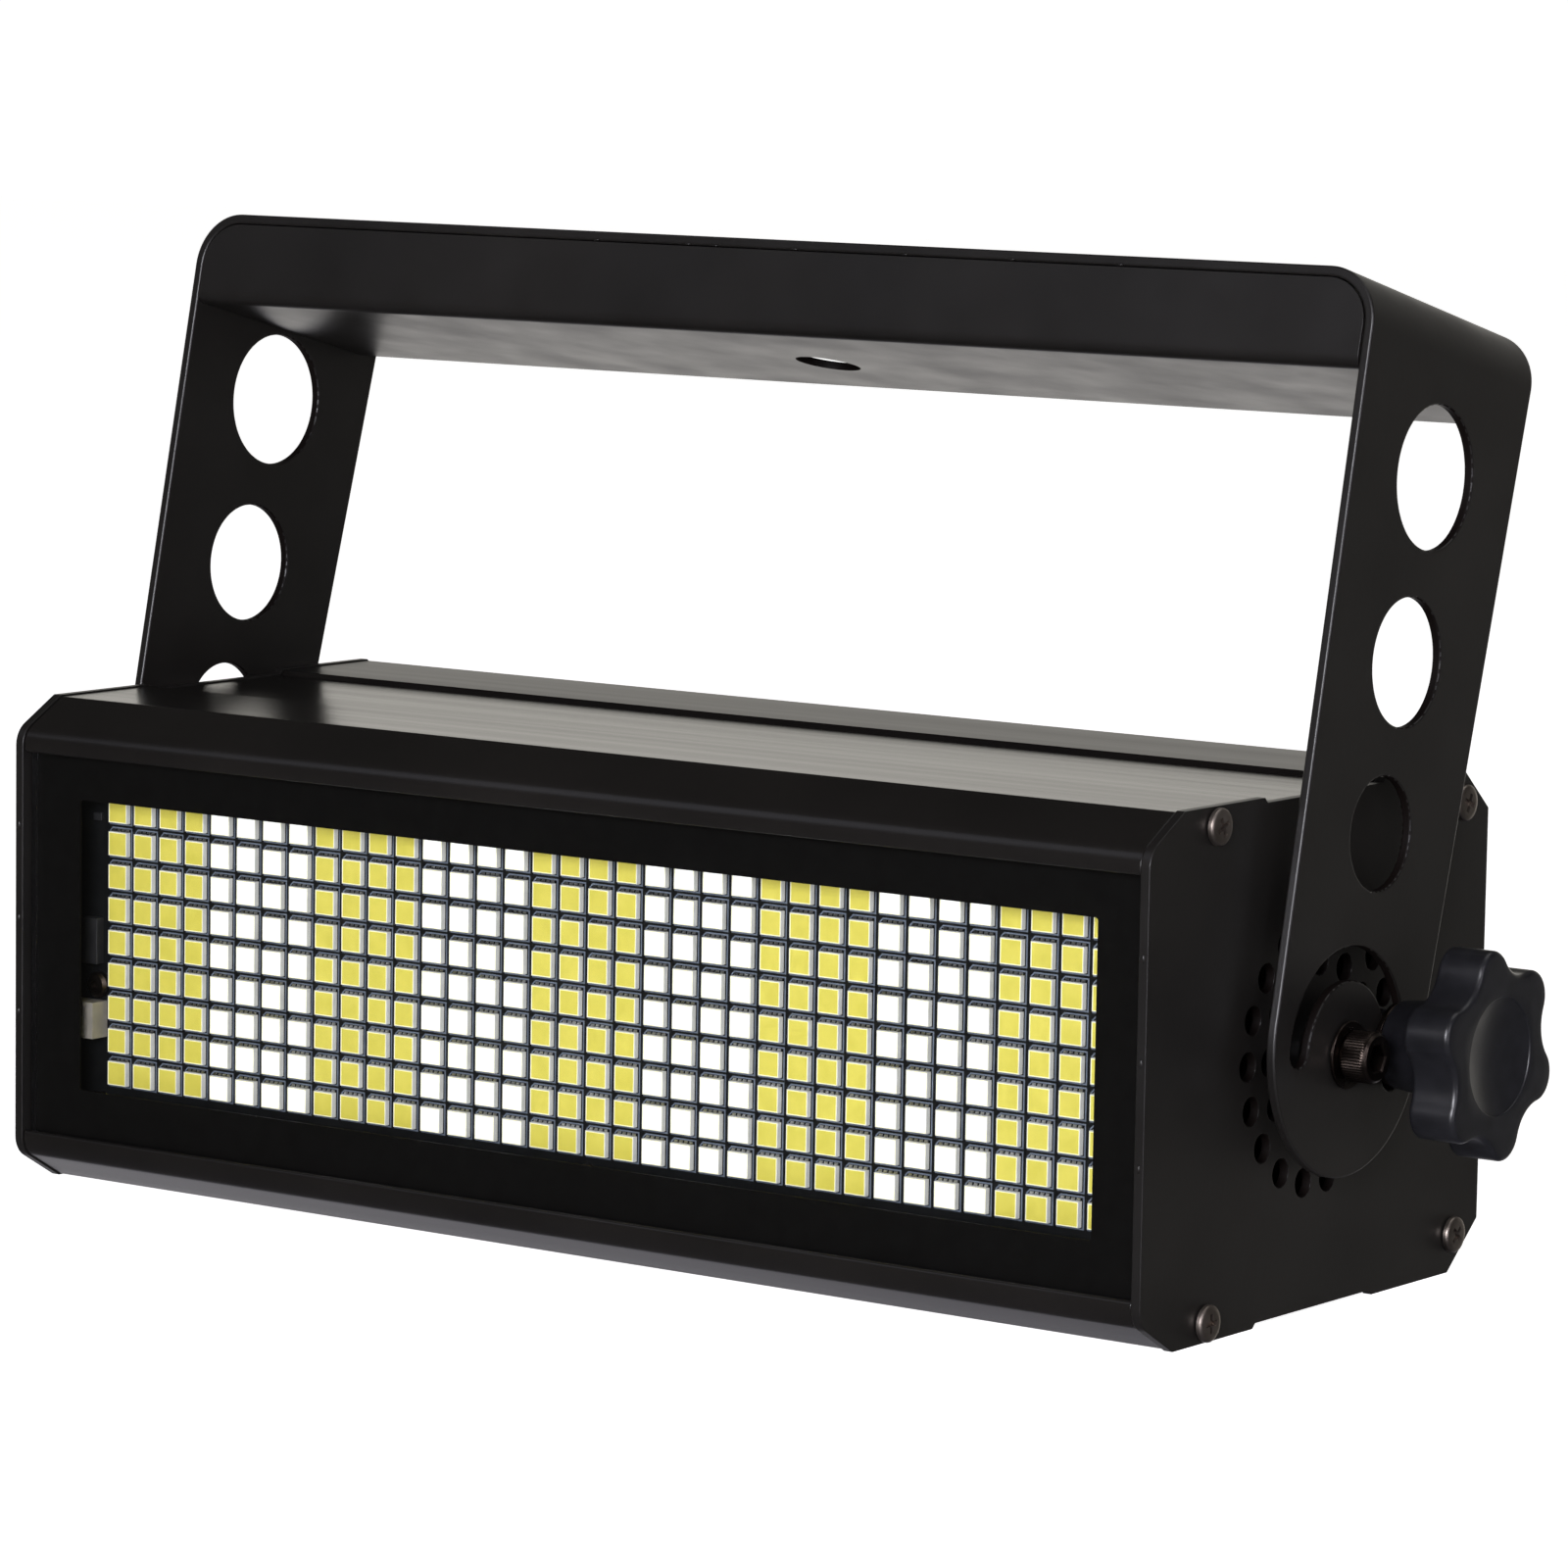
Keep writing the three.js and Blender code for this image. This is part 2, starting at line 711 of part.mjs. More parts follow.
// Curved slot that the clamp stud runs in.
function slotOutline() {
  const start = -slotFrontOverrun;
  const end = Math.PI + slotRearOverrun;
  const ring = (radius, from, to, steps) => {
    const points = [];
    for (let step = 0; step <= steps; step += 1) {
      const angle = from + (to - from) * step / steps;
      points.push([radius * Math.cos(angle), radius * Math.sin(angle)]);
    }
    return points;
  };
  const cap = (angle, turn) => {
    const points = [];
    for (let step = 1; step < slotEndSteps; step += 1) {
      const around = angle + turn + Math.PI * step / slotEndSteps;
      points.push([
        studOrbit * Math.cos(angle) + slotWidth / 2 * Math.cos(around),
        studOrbit * Math.sin(angle) + slotWidth / 2 * Math.sin(around),
      ]);
    }
    return points;
  };
  return [
    ...ring(studOrbit + slotWidth / 2, start, end, slotSteps),
    ...cap(end, 0),
    ...ring(studOrbit - slotWidth / 2, end, start, slotSteps),
    ...cap(start, Math.PI),
  ];
}

// Yoke strip: two arms and the top, folded from one sheet, with its holes and slots.
function makeYokeFrame() {
  const foot = -yokeEndRadius - cutOverrun;
  const fold = sheetSection(yokeFold(yokeHalfSpan, yokeRise, foot, yokeBendRadius), yokeSheet);
  const reach = yokeHalfWidth + cutOverrun;
  const strip = solid(alongY(fold, -reach, reach));
  const outX = yokeHalfSpan + cutOverrun;
  const blank = strip.intersect(solid(alongX(shapeOf(armOutline()), -outX, outX)));
  const cutters = armHoles.map(({ riseShare, radius, sides }) => {
    return rodX(radius, -outX, outX, sides).translate(0, 0, riseShare * yokeRise);
  });
  cutters.push(rodX(pivotBoltRadius + pivotHoleClearance, -outX, outX, roundSides));
  cutters.push(alongX(shapeOf(slotOutline()), -outX, outX));
  const clampTop = yokeRise + cutOverrun;
  cutters.push(rodZ(clampHoleRadius, yokeRise - yokeSheet - cutOverrun, clampTop, clampHoleSides));
  return geometryOf(cut(blank, cutters));
}

// Channel inside the top of the yoke: web at the front, a flange under the top and one below.
function makeYokeChannel() {
  const top = yokeRise - yokeSheet - seatGap;
  const foot = yokeRise - channelDrop;
  const front = -yokeHalfWidth + channelSetback;
  const rear = front + channelDepth;
  const path = [
    [rear, top],
    ...filleted([rear, top], [front, top], [front, foot], channelBendRadius, channelBendSteps),
    ...filleted([front, top], [front, foot], [rear, foot], channelBendRadius, channelBendSteps),
    [rear, foot],
  ].reverse();
  const reach = armInner - seatGap;
  const channel = solid(alongX(sheetSection(path, channelSheet), -reach, reach));
  const inside = yokeFold(reach, top, foot - cutOverrun, yokeBendRadius - yokeSheet - seatGap);
  const trimmed = channel.intersect(solid(alongY(shapeOf(inside), front - cutOverrun, rear + cutOverrun)));
  const through = channelSheet + cutOverrun;
  const clampHole = rodZ(clampHoleRadius, top - through, top + cutOverrun, clampHoleSides);
  const accessHole = rodZ(accessHoleRadius, foot - cutOverrun, foot + through, accessHoleSides);
  return geometryOf(cut(trimmed, [clampHole, accessHole]));
}

// Socket-head pivot bolt, its head's seat at zero and its shank towards -X.
function makePivotBolt() {
  const shank = boltSeat - plateInner + seatGap + nutHeight;
  const body = turnedX([
    [0, -shank],
    [pivotBoltRadius, -shank],
    [pivotBoltRadius, 0],
    [pivotHeadRadius, 0],
    [pivotHeadRadius, pivotHeadHeight - pivotHeadEdge],
    [pivotHeadRadius - pivotHeadEdge, pivotHeadHeight],
    [0, pivotHeadHeight],
  ], roundSides);
  const socket = rodX(
    pivotSocketRadius, pivotHeadHeight - pivotSocketDepth, pivotHeadHeight + cutOverrun, pivotSocketSides);
  return geometryOf(cut(solid(body), [socket]));
}

// Outline of the star knob: lobes joined by hollow arcs that touch them.
function starOutline() {
  const lobeOrbit = knobRadius - knobEdge - lobeRadius;
  const pitch = fullTurn / knobLobes;
  const aside = valleyOrbit * Math.sin(pitch / 2);
  const span = Math.hypot(valleyOrbit * Math.cos(pitch / 2) - lobeOrbit, aside);
  const valleyRadius = span - lobeRadius;
  const opening = Math.acos((span ** 2 + valleyOrbit ** 2 - lobeOrbit ** 2) / (2 * span * valleyOrbit));
  const lobeOpening = pitch / 2 + opening;
  const points = [];
  for (let lobe = 0; lobe < knobLobes; lobe += 1) {
    const middle = knobTurn + lobe * pitch;
    for (let step = 0; step <= knobArcSteps; step += 1) {
      const angle = middle + lobeOpening * (2 * step / knobArcSteps - 1);
      points.push([
        lobeOrbit * Math.cos(middle) + lobeRadius * Math.cos(angle),
        lobeOrbit * Math.sin(middle) + lobeRadius * Math.sin(angle),
      ]);
    }
    const valley = middle + pitch / 2;
    for (let step = 1; step < knobArcSteps; step += 1) {
      const angle = valley + Math.PI + opening * (1 - 2 * step / knobArcSteps);
      points.push([
        valleyOrbit * Math.cos(valley) + valleyRadius * Math.cos(angle),
        valleyOrbit * Math.sin(valley) + valleyRadius * Math.sin(angle),
      ]);
    }
  }
  return points;
}

// Star knob with its tapered hub, foot at zero, and a dished face.
function makeKnob() {
  const height = knobHubHeight + knobHeadHeight;
  const head = new THREE.ExtrudeGeometry(shapeOf(starOutline()), {
    depth: knobHeadHeight - 2 * knobEdge,
    bevelThickness: knobEdge,
    bevelSize: knobEdge,
    bevelSegments: knobEdgeSteps,
  });
  const turn = new THREE.Matrix4().makeBasis(
    new THREE.Vector3(0, 1, 0), new THREE.Vector3(0, 0, 1), new THREE.Vector3(1, 0, 0));
  head.applyMatrix4(turn).translate(knobHubHeight + knobEdge, 0, 0);
  const hub = turnedX([
    [0, 0],
    [hubFootRadius, 0],
    [hubHeadRadius, knobHubHeight],
    [hubHeadRadius, knobHubHeight + knobEdge],
    [0, knobHubHeight + knobEdge],
  ], roundSides);
  const dish = [];
  for (let step = 0; step <= dimpleSteps; step += 1) {
    const share = step / dimpleSteps;
    dish.push([dimpleRadius * share, height - dimpleDepth * (1 - share ** 2)]);
  }
  dish.push([dimpleRadius, height + cutOverrun], [0, height + cutOverrun]);
  const bore = rodX(studRadius + knobBoreClearance, -cutOverrun, knobBoreDepth, roundSides);
  return geometryOf(cut(joined([head, hub]), [turnedX(dish, roundSides), bore]));
}

// Threaded stud, from inside the end plate to the bottom of the knob's bore.
function makeStud() {
  return rodX(studRadius, plateInner - studInnerReach, knobFoot + knobBoreDepth - seatGap, studSides);
}

function makeNut() {
  return geometryOf(cut(
    solid(rodX(nutRadius, plateInner - seatGap - nutHeight, plateInner - seatGap, nutSides)),
    [rodX(pivotBoltRadius + pivotHoleClearance / 2, 0, halfWidth, roundSides)]));
}

// Collar that keeps the arm off the end plate, on the pivot bolt or round the clamp stud.
function makeCollar(radius) {
  const start = halfWidth + seatGap;
  return tubeX(studRadius + pivotHoleClearance, radius, start, start + spacerLength, roundSides);
}

// Rear panel with openings for the menu, the sockets and the power inlet.
function makeRearPanel() {
  const near = panelInner - cutOverrun;
  const far = panelOuter + cutOverrun;
  const opening = (x, z, width, height, corner) => {
    const outline = shapeOf(roundedRectangle(width, height, corner, cornerSteps));
    return alongY(outline, near, far).translate(x, 0, z);
  };
  const bore = (radius, sides, x, z) => rodY(radius, near, far, sides).translate(x, 0, z);
  const blank = block(centred(0, profileLength), [panelInner, panelOuter], centred(0, panelHeight));
  const inletOpening = [inletBodyWidth + 2 * seatGap, inletBodyHeight + 2 * seatGap, inletOpeningCorner];
  return geometryOf(cut(solid(blank), [
    opening(menuX, displayRise, displayWidth, displayHeight, displayCorner),
    opening(inletX, 0, ...inletOpening),
    ...buttonPlaces().map((x) => bore(buttonRadius + buttonClearance, buttonSides, x, -buttonDrop)),
    ...[signalInX, signalOutX].map((x) => bore(socketBodyRadius + seatGap, roundSides, x, 0)),
    ...panelScrewPlaces().map(([x, z]) => bore(screwShankRadius + screwClearance, screwSides, x, z)),
  ]));
}

function buttonPlaces() {
  return Array.from({ length: buttonCount }, (_, index) => {
    return menuX + (index - (buttonCount - 1) / 2) * buttonPitch;
  });
}

function panelScrewPlaces() {
  const x = profileHalfLength - panelScrewInset;
  return [[-x, panelScrewRise], [x, panelScrewRise], [-x, -panelScrewRise], [x, -panelScrewRise]];
}

// Push button: a cap through the panel and a flange that keeps it in.
function makeButton() {
  const flangeOuter = panelInner - seatGap;
  const flangeInner = flangeOuter - buttonFlangeThickness;
  return turnedY([
    [0, flangeInner],
    [buttonFlangeRadius, flangeInner],
    [buttonFlangeRadius, flangeOuter],
    [buttonRadius, flangeOuter],
    [buttonRadius, panelOuter + buttonProud],
    [0, panelOuter + buttonProud],
  ], buttonSides);
}

const switchFace = panelInner - seatGap - buttonFlangeThickness - buttonTravel - runningGap;
const controlFront = switchFace - switchHeight;
const controlBack = controlFront - boardThickness;

// Control board with its switches and the standoffs that hold it to the panel.
function makeControlBoard() {
  const middle = (displayRise - buttonDrop) / 2;
  const board = block(
    centred(menuX, controlBoardWidth), [controlBack, controlFront], centred(middle, controlBoardHeight));
  const switches = buttonPlaces().map((x) => block(
    centred(x, switchSize), [controlFront - diodeSink, switchFace], centred(-buttonDrop, switchSize)));
  const posts = [];
  [-1, 1].forEach((sideX) => [-1, 1].forEach((sideZ) => {
    const post = rodY(standoffRadius, controlFront - diodeSink, panelInner - seatGap, standoffSides);
    const x = menuX + sideX * (controlBoardWidth / 2 - standoffRadius - cutOverrun);
    const z = middle + sideZ * (controlBoardHeight / 2 - standoffRadius - cutOverrun);
    posts.push(post.translate(x, 0, z));
  }));
  return geometryOf(joined([board, ...switches, ...posts]));
}

function makeDisplayModule() {
  const width = displayWidth + 2 * displayModuleMargin;
  const height = displayHeight + 2 * displayModuleMargin;
  return block(
    centred(menuX, width), [controlFront + seatGap, panelInner - displayModuleGap + seatGap],
    centred(displayRise, height));
}

function makeDisplayLens() {
  const width = displayWidth - 2 * seatGap;
  const height = displayHeight - 2 * seatGap;
  const outline = shapeOf(roundedRectangle(width, height, displayCorner, cornerSteps));
  return alongY(outline, panelOuter - displayLensThickness, panelOuter).translate(menuX, 0, displayRise);
}

function contactAngles() {
  return Array.from({ length: contactCount }, (_, index) => Math.PI / 2 + fullTurn * index / contactCount);
}

const flangeFace = panelOuter + seatGap + flangeThickness;

// Flange and barrel that both signal sockets share.
function socketBlank() {
  const shape = shapeOf(roundedRectangle(flangeWidth, flangeHeight, flangeCorner, cornerSteps));
  const flange = alongY(shape, panelOuter + seatGap, flangeFace);
  const back = flangeFace - socketBodyDepth;
  const barrel = rodY(socketBodyRadius, back, panelOuter + flangeThickness, roundSides);
  return joined([flange, barrel]);
}

// Signal input: a round cavity with three contact pins.
function makeSignalIn() {
  const floor = flangeFace - socketCavityDepth;
  const cavity = rodY(socketCavityRadius, floor, flangeFace + cutOverrun, roundSides);
  const hollow = cut(socketBlank(), [cavity]);
  const pins = contactAngles().map((angle) => {
    const pin = rodY(contactRadius, floor - cutOverrun, floor + contactLength, contactSides);
    return pin.translate(contactOrbit * Math.cos(angle), 0, contactOrbit * Math.sin(angle));
  });
  const key = block(
    centred(0, socketKeyWidth), [floor - cutOverrun, flangeFace],
    [-socketCavityRadius - cutOverrun, -socketCavityRadius + socketKeyDepth]);
  return geometryOf([...pins, key].map(solid).reduce((whole, part) => whole.add(part), hollow));
}

// Signal output: a round face with three contact holes and the latch's opening.
function makeSignalOut() {
  const ring = tubeY(
    socketRingInner, socketRingOuter, flangeFace - socketRingDepth, flangeFace + cutOverrun, roundSides);
  const mouth = flangeFace + cutOverrun;
  const holes = contactAngles().map((angle) => {
    const hole = rodY(contactHoleRadius, flangeFace - contactHoleDepth, mouth, contactSides);
    return hole.translate(contactOrbit * Math.cos(angle), 0, contactOrbit * Math.sin(angle));
  });
  const latchFloor = flangeFace - latchDepth - latchTravel - runningGap;
  const latchOpening = block(
    centred(0, latchWidth + 2 * latchClearance), [latchFloor, flangeFace + cutOverrun],
    centred(latchRise, latchHeight + 2 * latchClearance));
  return geometryOf(cut(socketBlank(), [ring, ...holes, latchOpening]));
}

function makeSignalLatch() {
  const depth = [flangeFace - latchDepth, flangeFace + latchProud];
  return block(centred(0, latchWidth), depth, centred(latchRise, latchHeight));
}

// Power inlet: a shaped recess with three blades above the fuse drawer's slot.
function makePowerInlet() {
  const outline = shapeOf(roundedRectangle(inletWidth, inletHeight, inletCorner, cornerSteps));
  const flange = alongY(outline, panelOuter + seatGap, flangeFace);
  const back = flangeFace - inletBodyDepth;
  const body = block(
    centred(0, inletBodyWidth), [back, panelOuter + flangeThickness], centred(0, inletBodyHeight));
  const cavityFloor = flangeFace - inletCavityDepth;
  const half = inletCavityWidth / 2;
  const foot = inletCavityRise - inletCavityHeight / 2;
  const crown = inletCavityRise + inletCavityHeight / 2;
  const cavity = alongY(shapeOf([
    [-half, foot],
    [half, foot],
    [half, crown - inletCavityCorner],
    [half - inletCavityCorner, crown],
    [inletCavityCorner - half, crown],
    [-half, crown - inletCavityCorner],
  ]), cavityFloor, flangeFace + cutOverrun);
  const drawerFloor = flangeFace - drawerDepth - drawerClearance;
  const drawerSlot = block(
    centred(0, drawerWidth + 2 * drawerClearance), [drawerFloor, flangeFace + cutOverrun],
    centred(-drawerDrop, drawerHeight + 2 * drawerClearance));
  const hollow = cut(joined([flange, body]), [cavity, drawerSlot]);
  const blade = (x, rise) => block(
    centred(x, bladeThickness), [cavityFloor - cutOverrun, cavityFloor + bladeLength],
    centred(inletCavityRise + rise, bladeWidth));
  const blades = [
    blade(0, bladeEarthRise),
    blade(-bladeSpread, -bladeLineDrop),
    blade(bladeSpread, -bladeLineDrop),
  ];
  return geometryOf(blades.map(solid).reduce((whole, part) => whole.add(part), hollow));
}

// Fuse drawer that pulls out of the inlet.
function makeFuseDrawer() {
  const tray = block(
    centred(0, drawerWidth), [flangeFace - drawerDepth, flangeFace + drawerLipThickness],
    centred(-drawerDrop, drawerHeight));
  const lip = block(
    centred(0, drawerLipWidth), [flangeFace + seatGap, flangeFace + drawerLipThickness],
    centred(-drawerDrop, drawerLipHeight));
  const well = block(
    centred(0, drawerWidth - 2 * drawerLipThickness),
    [flangeFace - drawerDepth + drawerLipThickness, flangeFace - drawerLipThickness],
    [-drawerDrop - drawerHeight / 2 + drawerLipThickness, -drawerDrop + drawerHeight]);
  return geometryOf(cut(joined([tray, lip]), [well]));
}

const floorRise = -skinInner + bandStep + seatGap;

// A circuit board on four posts, with the components given as geometries on its face.
function floorBoard(width, depth, x, y, components) {
  const face = floorRise + floorStandoff + boardThickness;
  const board = block(centred(x, width), centred(y, depth), [face - boardThickness, face]);
  const posts = [];
  [-1, 1].forEach((sideX) => [-1, 1].forEach((sideY) => {
    const post = rodZ(standoffRadius, floorRise, face - diodeSink, standoffSides);
    const postX = x + sideX * (width / 2 - componentMargin);
    const postY = y + sideY * (depth / 2 - componentMargin);
    posts.push(post.translate(postX, postY, 0));
  }));
  return geometryOf(joined([board, ...posts, ...components(face - diodeSink)]));
}

function component({ width, depth, height }, x, y, base) {
  return block(centred(x, width), centred(y, depth), [base, base + height]);
}

// Mains supply: transformer, smoothing capacitors, cooling bar and terminals.
function makePowerSupply() {
  return floorBoard(supplyWidth, supplyDepth, supplyX, supplyY, (base) => {
    const left = supplyX - supplyWidth / 2;
    const front = supplyY - supplyDepth / 2;
    const rear = supplyY + supplyDepth / 2;
    const capacitors = Array.from({ length: capacitorCount }, (_, place) => {
      const rod = rodZ(capacitorRadius, base, base + capacitorHeight, capacitorSides);
      const x = left + terminalInset + terminalBlock.width + (place + 1) * capacitorPitch;
      return rod.translate(x, rear - capacitorInset, 0);
    });
    return [
      component(transformer, supplyX + transformer.width, supplyY, base),
      component(coolerBar, supplyX - componentMargin, front + 2 * coolerBar.depth, base),
      component(terminalBlock, left + terminalInset + terminalBlock.width / 2, supplyY, base),
      ...capacitors,
    ];
  });
}

// Driver board: coils in a row and a cooling bar.
function makeDriverBoard() {
  return floorBoard(driverWidth, driverDepth, driverX, driverY, (base) => {
    const left = driverX - driverWidth / 2;
    const coils = Array.from({ length: coilCount }, (_, place) => {
      const x = left + (place + 1) * (driverCoil.width + componentMargin);
      return component(driverCoil, x, driverY, base);
    });
    return [component(coolerBar, driverX, driverY - driverDepth / 2 + 2 * coolerBar.depth, base), ...coils];
  });
}

function part(parent, name, geometry, material) {
  const mesh = new THREE.Mesh(geometry, material);
  mesh.name = name;
  parent.add(mesh);
  return mesh;
}

// Mirror copy across the middle plane, its triangles turned over to face outwards again.
function mirrored(geometry) {
  const flat = geometry.index ? geometry.toNonIndexed() : geometry;
  const points = [];
  const point = new THREE.Vector3();
  for (let at = 0; at < flat.attributes.position.count; at += 3) {
    [at, at + 2, at + 1].forEach((corner) => {
      point.fromBufferAttribute(flat.attributes.position, corner);
      points.push(-point.x, point.y, point.z);
    });
  }
  const copy = new THREE.BufferGeometry();
  copy.setAttribute('position', new THREE.Float32BufferAttribute(points, 3));
  copy.computeVertexNormals();
  return copy;
}

// A piece of the right-hand side and its mirror copy on the left.
function sidePair(parent, name, geometry, material) {
  part(parent, `${name}_right`, geometry, material);
  part(parent, `${name}_left`, mirrored(geometry), material);
}

const unit = new THREE.Group();
unit.position.set(0, -footprintShift, halfHeight);

const housing = new THREE.Group();
unit.add(housing);

const profileGeometry = makeProfile();
part(housing, 'upper_profile', profileGeometry, blackSatin);
const lowerProfile = part(housing, 'lower_profile', profileGeometry, blackSatin);
lowerProfile.rotation.y = Math.PI;

sidePair(housing, 'end_plate', makeEndPlate().translate(plateInner, 0, 0), blackPlate);
part(housing, 'front_glass', makeGlass(), clearGlass);
part(housing, 'window_mask', makeMask(), blackCard);
part(housing, 'diode_board', makeDiodeBoard(), diodeFace);
part(housing, 'heat_sink', makeHeatSink(), bareAluminium);
const header = part(housing, 'board_header', makeHeader(), whitePlastic);
header.position.set(-windowWidth / 2 - headerWidth / 2, 0, -headerDrop);

part(housing, 'power_supply', makePowerSupply(), greenBoard);
part(housing, 'driver_board', makeDriverBoard(), greenBoard);
part(housing, 'rear_panel', makeRearPanel(), blackPlate);
part(housing, 'control_board', makeControlBoard(), greenBoard);
part(housing, 'display_module', makeDisplayModule(), blackPlastic);
part(housing, 'display_lens', makeDisplayLens(), smokedLens);
buttonPlaces().forEach((x, index) => {
  const button = part(housing, `menu_button_${index + 1}`, makeButton(), blackPlastic);
  button.position.set(x, 0, -buttonDrop);
});
part(housing, 'signal_in', makeSignalIn(), nickel).position.x = signalInX;
part(housing, 'signal_out', makeSignalOut(), nickel).position.x = signalOutX;
part(housing, 'signal_latch', makeSignalLatch(), nickel).position.x = signalOutX;
part(housing, 'power_inlet', makePowerInlet(), blackPlastic).position.x = inletX;
part(housing, 'fuse_drawer', makeFuseDrawer(), blackPlastic).position.x = inletX;

const plateScrew = makeScrew(screwLength);
screwPlaces.forEach(({ reach, rise }, index) => {
  const right = part(housing, `plate_screw_right_${index + 1}`, plateScrew, bronzeSteel);
  right.position.set(halfWidth + seatGap, reach, rise);
  const left = part(housing, `plate_screw_left_${index + 1}`, plateScrew, bronzeSteel);
  left.position.set(-halfWidth - seatGap, reach, rise);
  left.rotation.z = Math.PI;
});
const panelScrew = makeScrew(2 * panelThickness + profileWall);
panelScrewPlaces().forEach(([x, z], index) => {
  const screw = part(housing, `panel_screw_${index + 1}`, panelScrew, bronzeSteel);
  screw.position.set(x, panelOuter + seatGap, z);
  screw.rotation.z = Math.PI / 2;
});

sidePair(housing, 'pivot_bolt', makePivotBolt().translate(boltSeat, 0, 0), nickel);
sidePair(housing, 'pivot_washer', tubeX(
  pivotBoltRadius + pivotHoleClearance, pivotWasherRadius, clampFace, clampFace + pivotWasherThickness,
  roundSides), nickel);
sidePair(housing, 'pivot_spacer', makeCollar(spacerRadius), zincSteel);
sidePair(housing, 'clamp_bush', makeCollar(bushRadius).translate(0, studOrbit, 0), zincSteel);
sidePair(housing, 'pivot_nut', makeNut(), zincSteel);

const clamp = new THREE.Group();
clamp.position.y = studOrbit;
unit.add(clamp);
sidePair(clamp, 'knob_washer', tubeX(
  studRadius + pivotHoleClearance, knobWasherRadius, clampFace, clampFace + knobWasherThickness,
  roundSides), zincSteel);
sidePair(clamp, 'clamp_knob', makeKnob().translate(knobFoot, 0, 0), blackPlastic);
sidePair(clamp, 'clamp_stud', makeStud(), zincSteel);

const yoke = new THREE.Group();
yoke.rotation.x = -yokeLean;
unit.add(yoke);
part(yoke, 'yoke_frame', makeYokeFrame(), blackSatin);
part(yoke, 'yoke_channel', makeYokeChannel(), blackSatin);

export default unit;
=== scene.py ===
"""Dresses the strobe light: sheet metal, extrusion, diode field, yoke, knobs and fasteners."""

from __future__ import annotations

import json
import logging
import math
from dataclasses import dataclass, field
from enum import Enum
from typing import Iterable, NamedTuple, Sequence

import bmesh
import bpy
import numpy as np
from mathutils import Matrix, Vector

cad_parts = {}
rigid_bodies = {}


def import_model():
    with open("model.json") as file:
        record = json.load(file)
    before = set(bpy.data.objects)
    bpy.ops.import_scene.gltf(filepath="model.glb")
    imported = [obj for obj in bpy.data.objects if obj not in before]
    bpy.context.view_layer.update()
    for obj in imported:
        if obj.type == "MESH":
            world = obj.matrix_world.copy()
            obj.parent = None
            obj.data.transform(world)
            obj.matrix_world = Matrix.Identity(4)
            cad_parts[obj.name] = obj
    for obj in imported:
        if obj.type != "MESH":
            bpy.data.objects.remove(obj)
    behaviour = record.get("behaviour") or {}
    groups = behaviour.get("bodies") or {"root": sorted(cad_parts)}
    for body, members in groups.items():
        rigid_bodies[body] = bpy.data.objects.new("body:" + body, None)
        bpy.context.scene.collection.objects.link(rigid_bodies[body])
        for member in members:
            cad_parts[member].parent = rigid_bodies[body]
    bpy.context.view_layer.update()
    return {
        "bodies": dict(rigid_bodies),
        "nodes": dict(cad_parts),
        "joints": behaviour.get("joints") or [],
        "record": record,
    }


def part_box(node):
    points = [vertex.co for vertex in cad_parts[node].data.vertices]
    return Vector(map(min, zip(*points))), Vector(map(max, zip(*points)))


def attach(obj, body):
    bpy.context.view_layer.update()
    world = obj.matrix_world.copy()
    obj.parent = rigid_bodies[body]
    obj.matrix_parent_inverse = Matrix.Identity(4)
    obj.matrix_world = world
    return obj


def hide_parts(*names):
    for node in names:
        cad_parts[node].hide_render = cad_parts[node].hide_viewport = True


LOG = logging.getLogger("strobe")
MM = 0.001
TURN = 2 * math.pi
NOISE_RANGE = (0.3, 0.7)
LINE_STRENGTH = 0.3
ROUND = 64
CORNER_STEPS = 6
NUB_SIDES = 10
NUB_WAIST = 0.7
SAME_POINT = 1e-7
BEVEL_ANGLE = math.radians(28)
UPRIGHT = Matrix.Rotation(-math.pi / 2, 3, "Y")

Triple = tuple[float, float, float]
Colour = Triple
Span = tuple[float, float]


class Side(Enum):
    """The two ends of the housing, by the sign of X."""

    RIGHT = 1
    LEFT = -1

    @property
    def label(self) -> str:
        """The word that ends a node's name."""
        return self.name.lower()


class Body(Enum):
    """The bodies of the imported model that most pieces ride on."""

    HOUSING = "housing"
    YOKE = "yoke"
    LATCH = "latch"
    DRAWER = "fuse_drawer"


# Materials


class Noise(NamedTuple):
    """Noise: cells per metre, octaves, and how much finer it is along each axis."""

    scale: float
    detail: float
    stretch: Triple = (1, 1, 1)


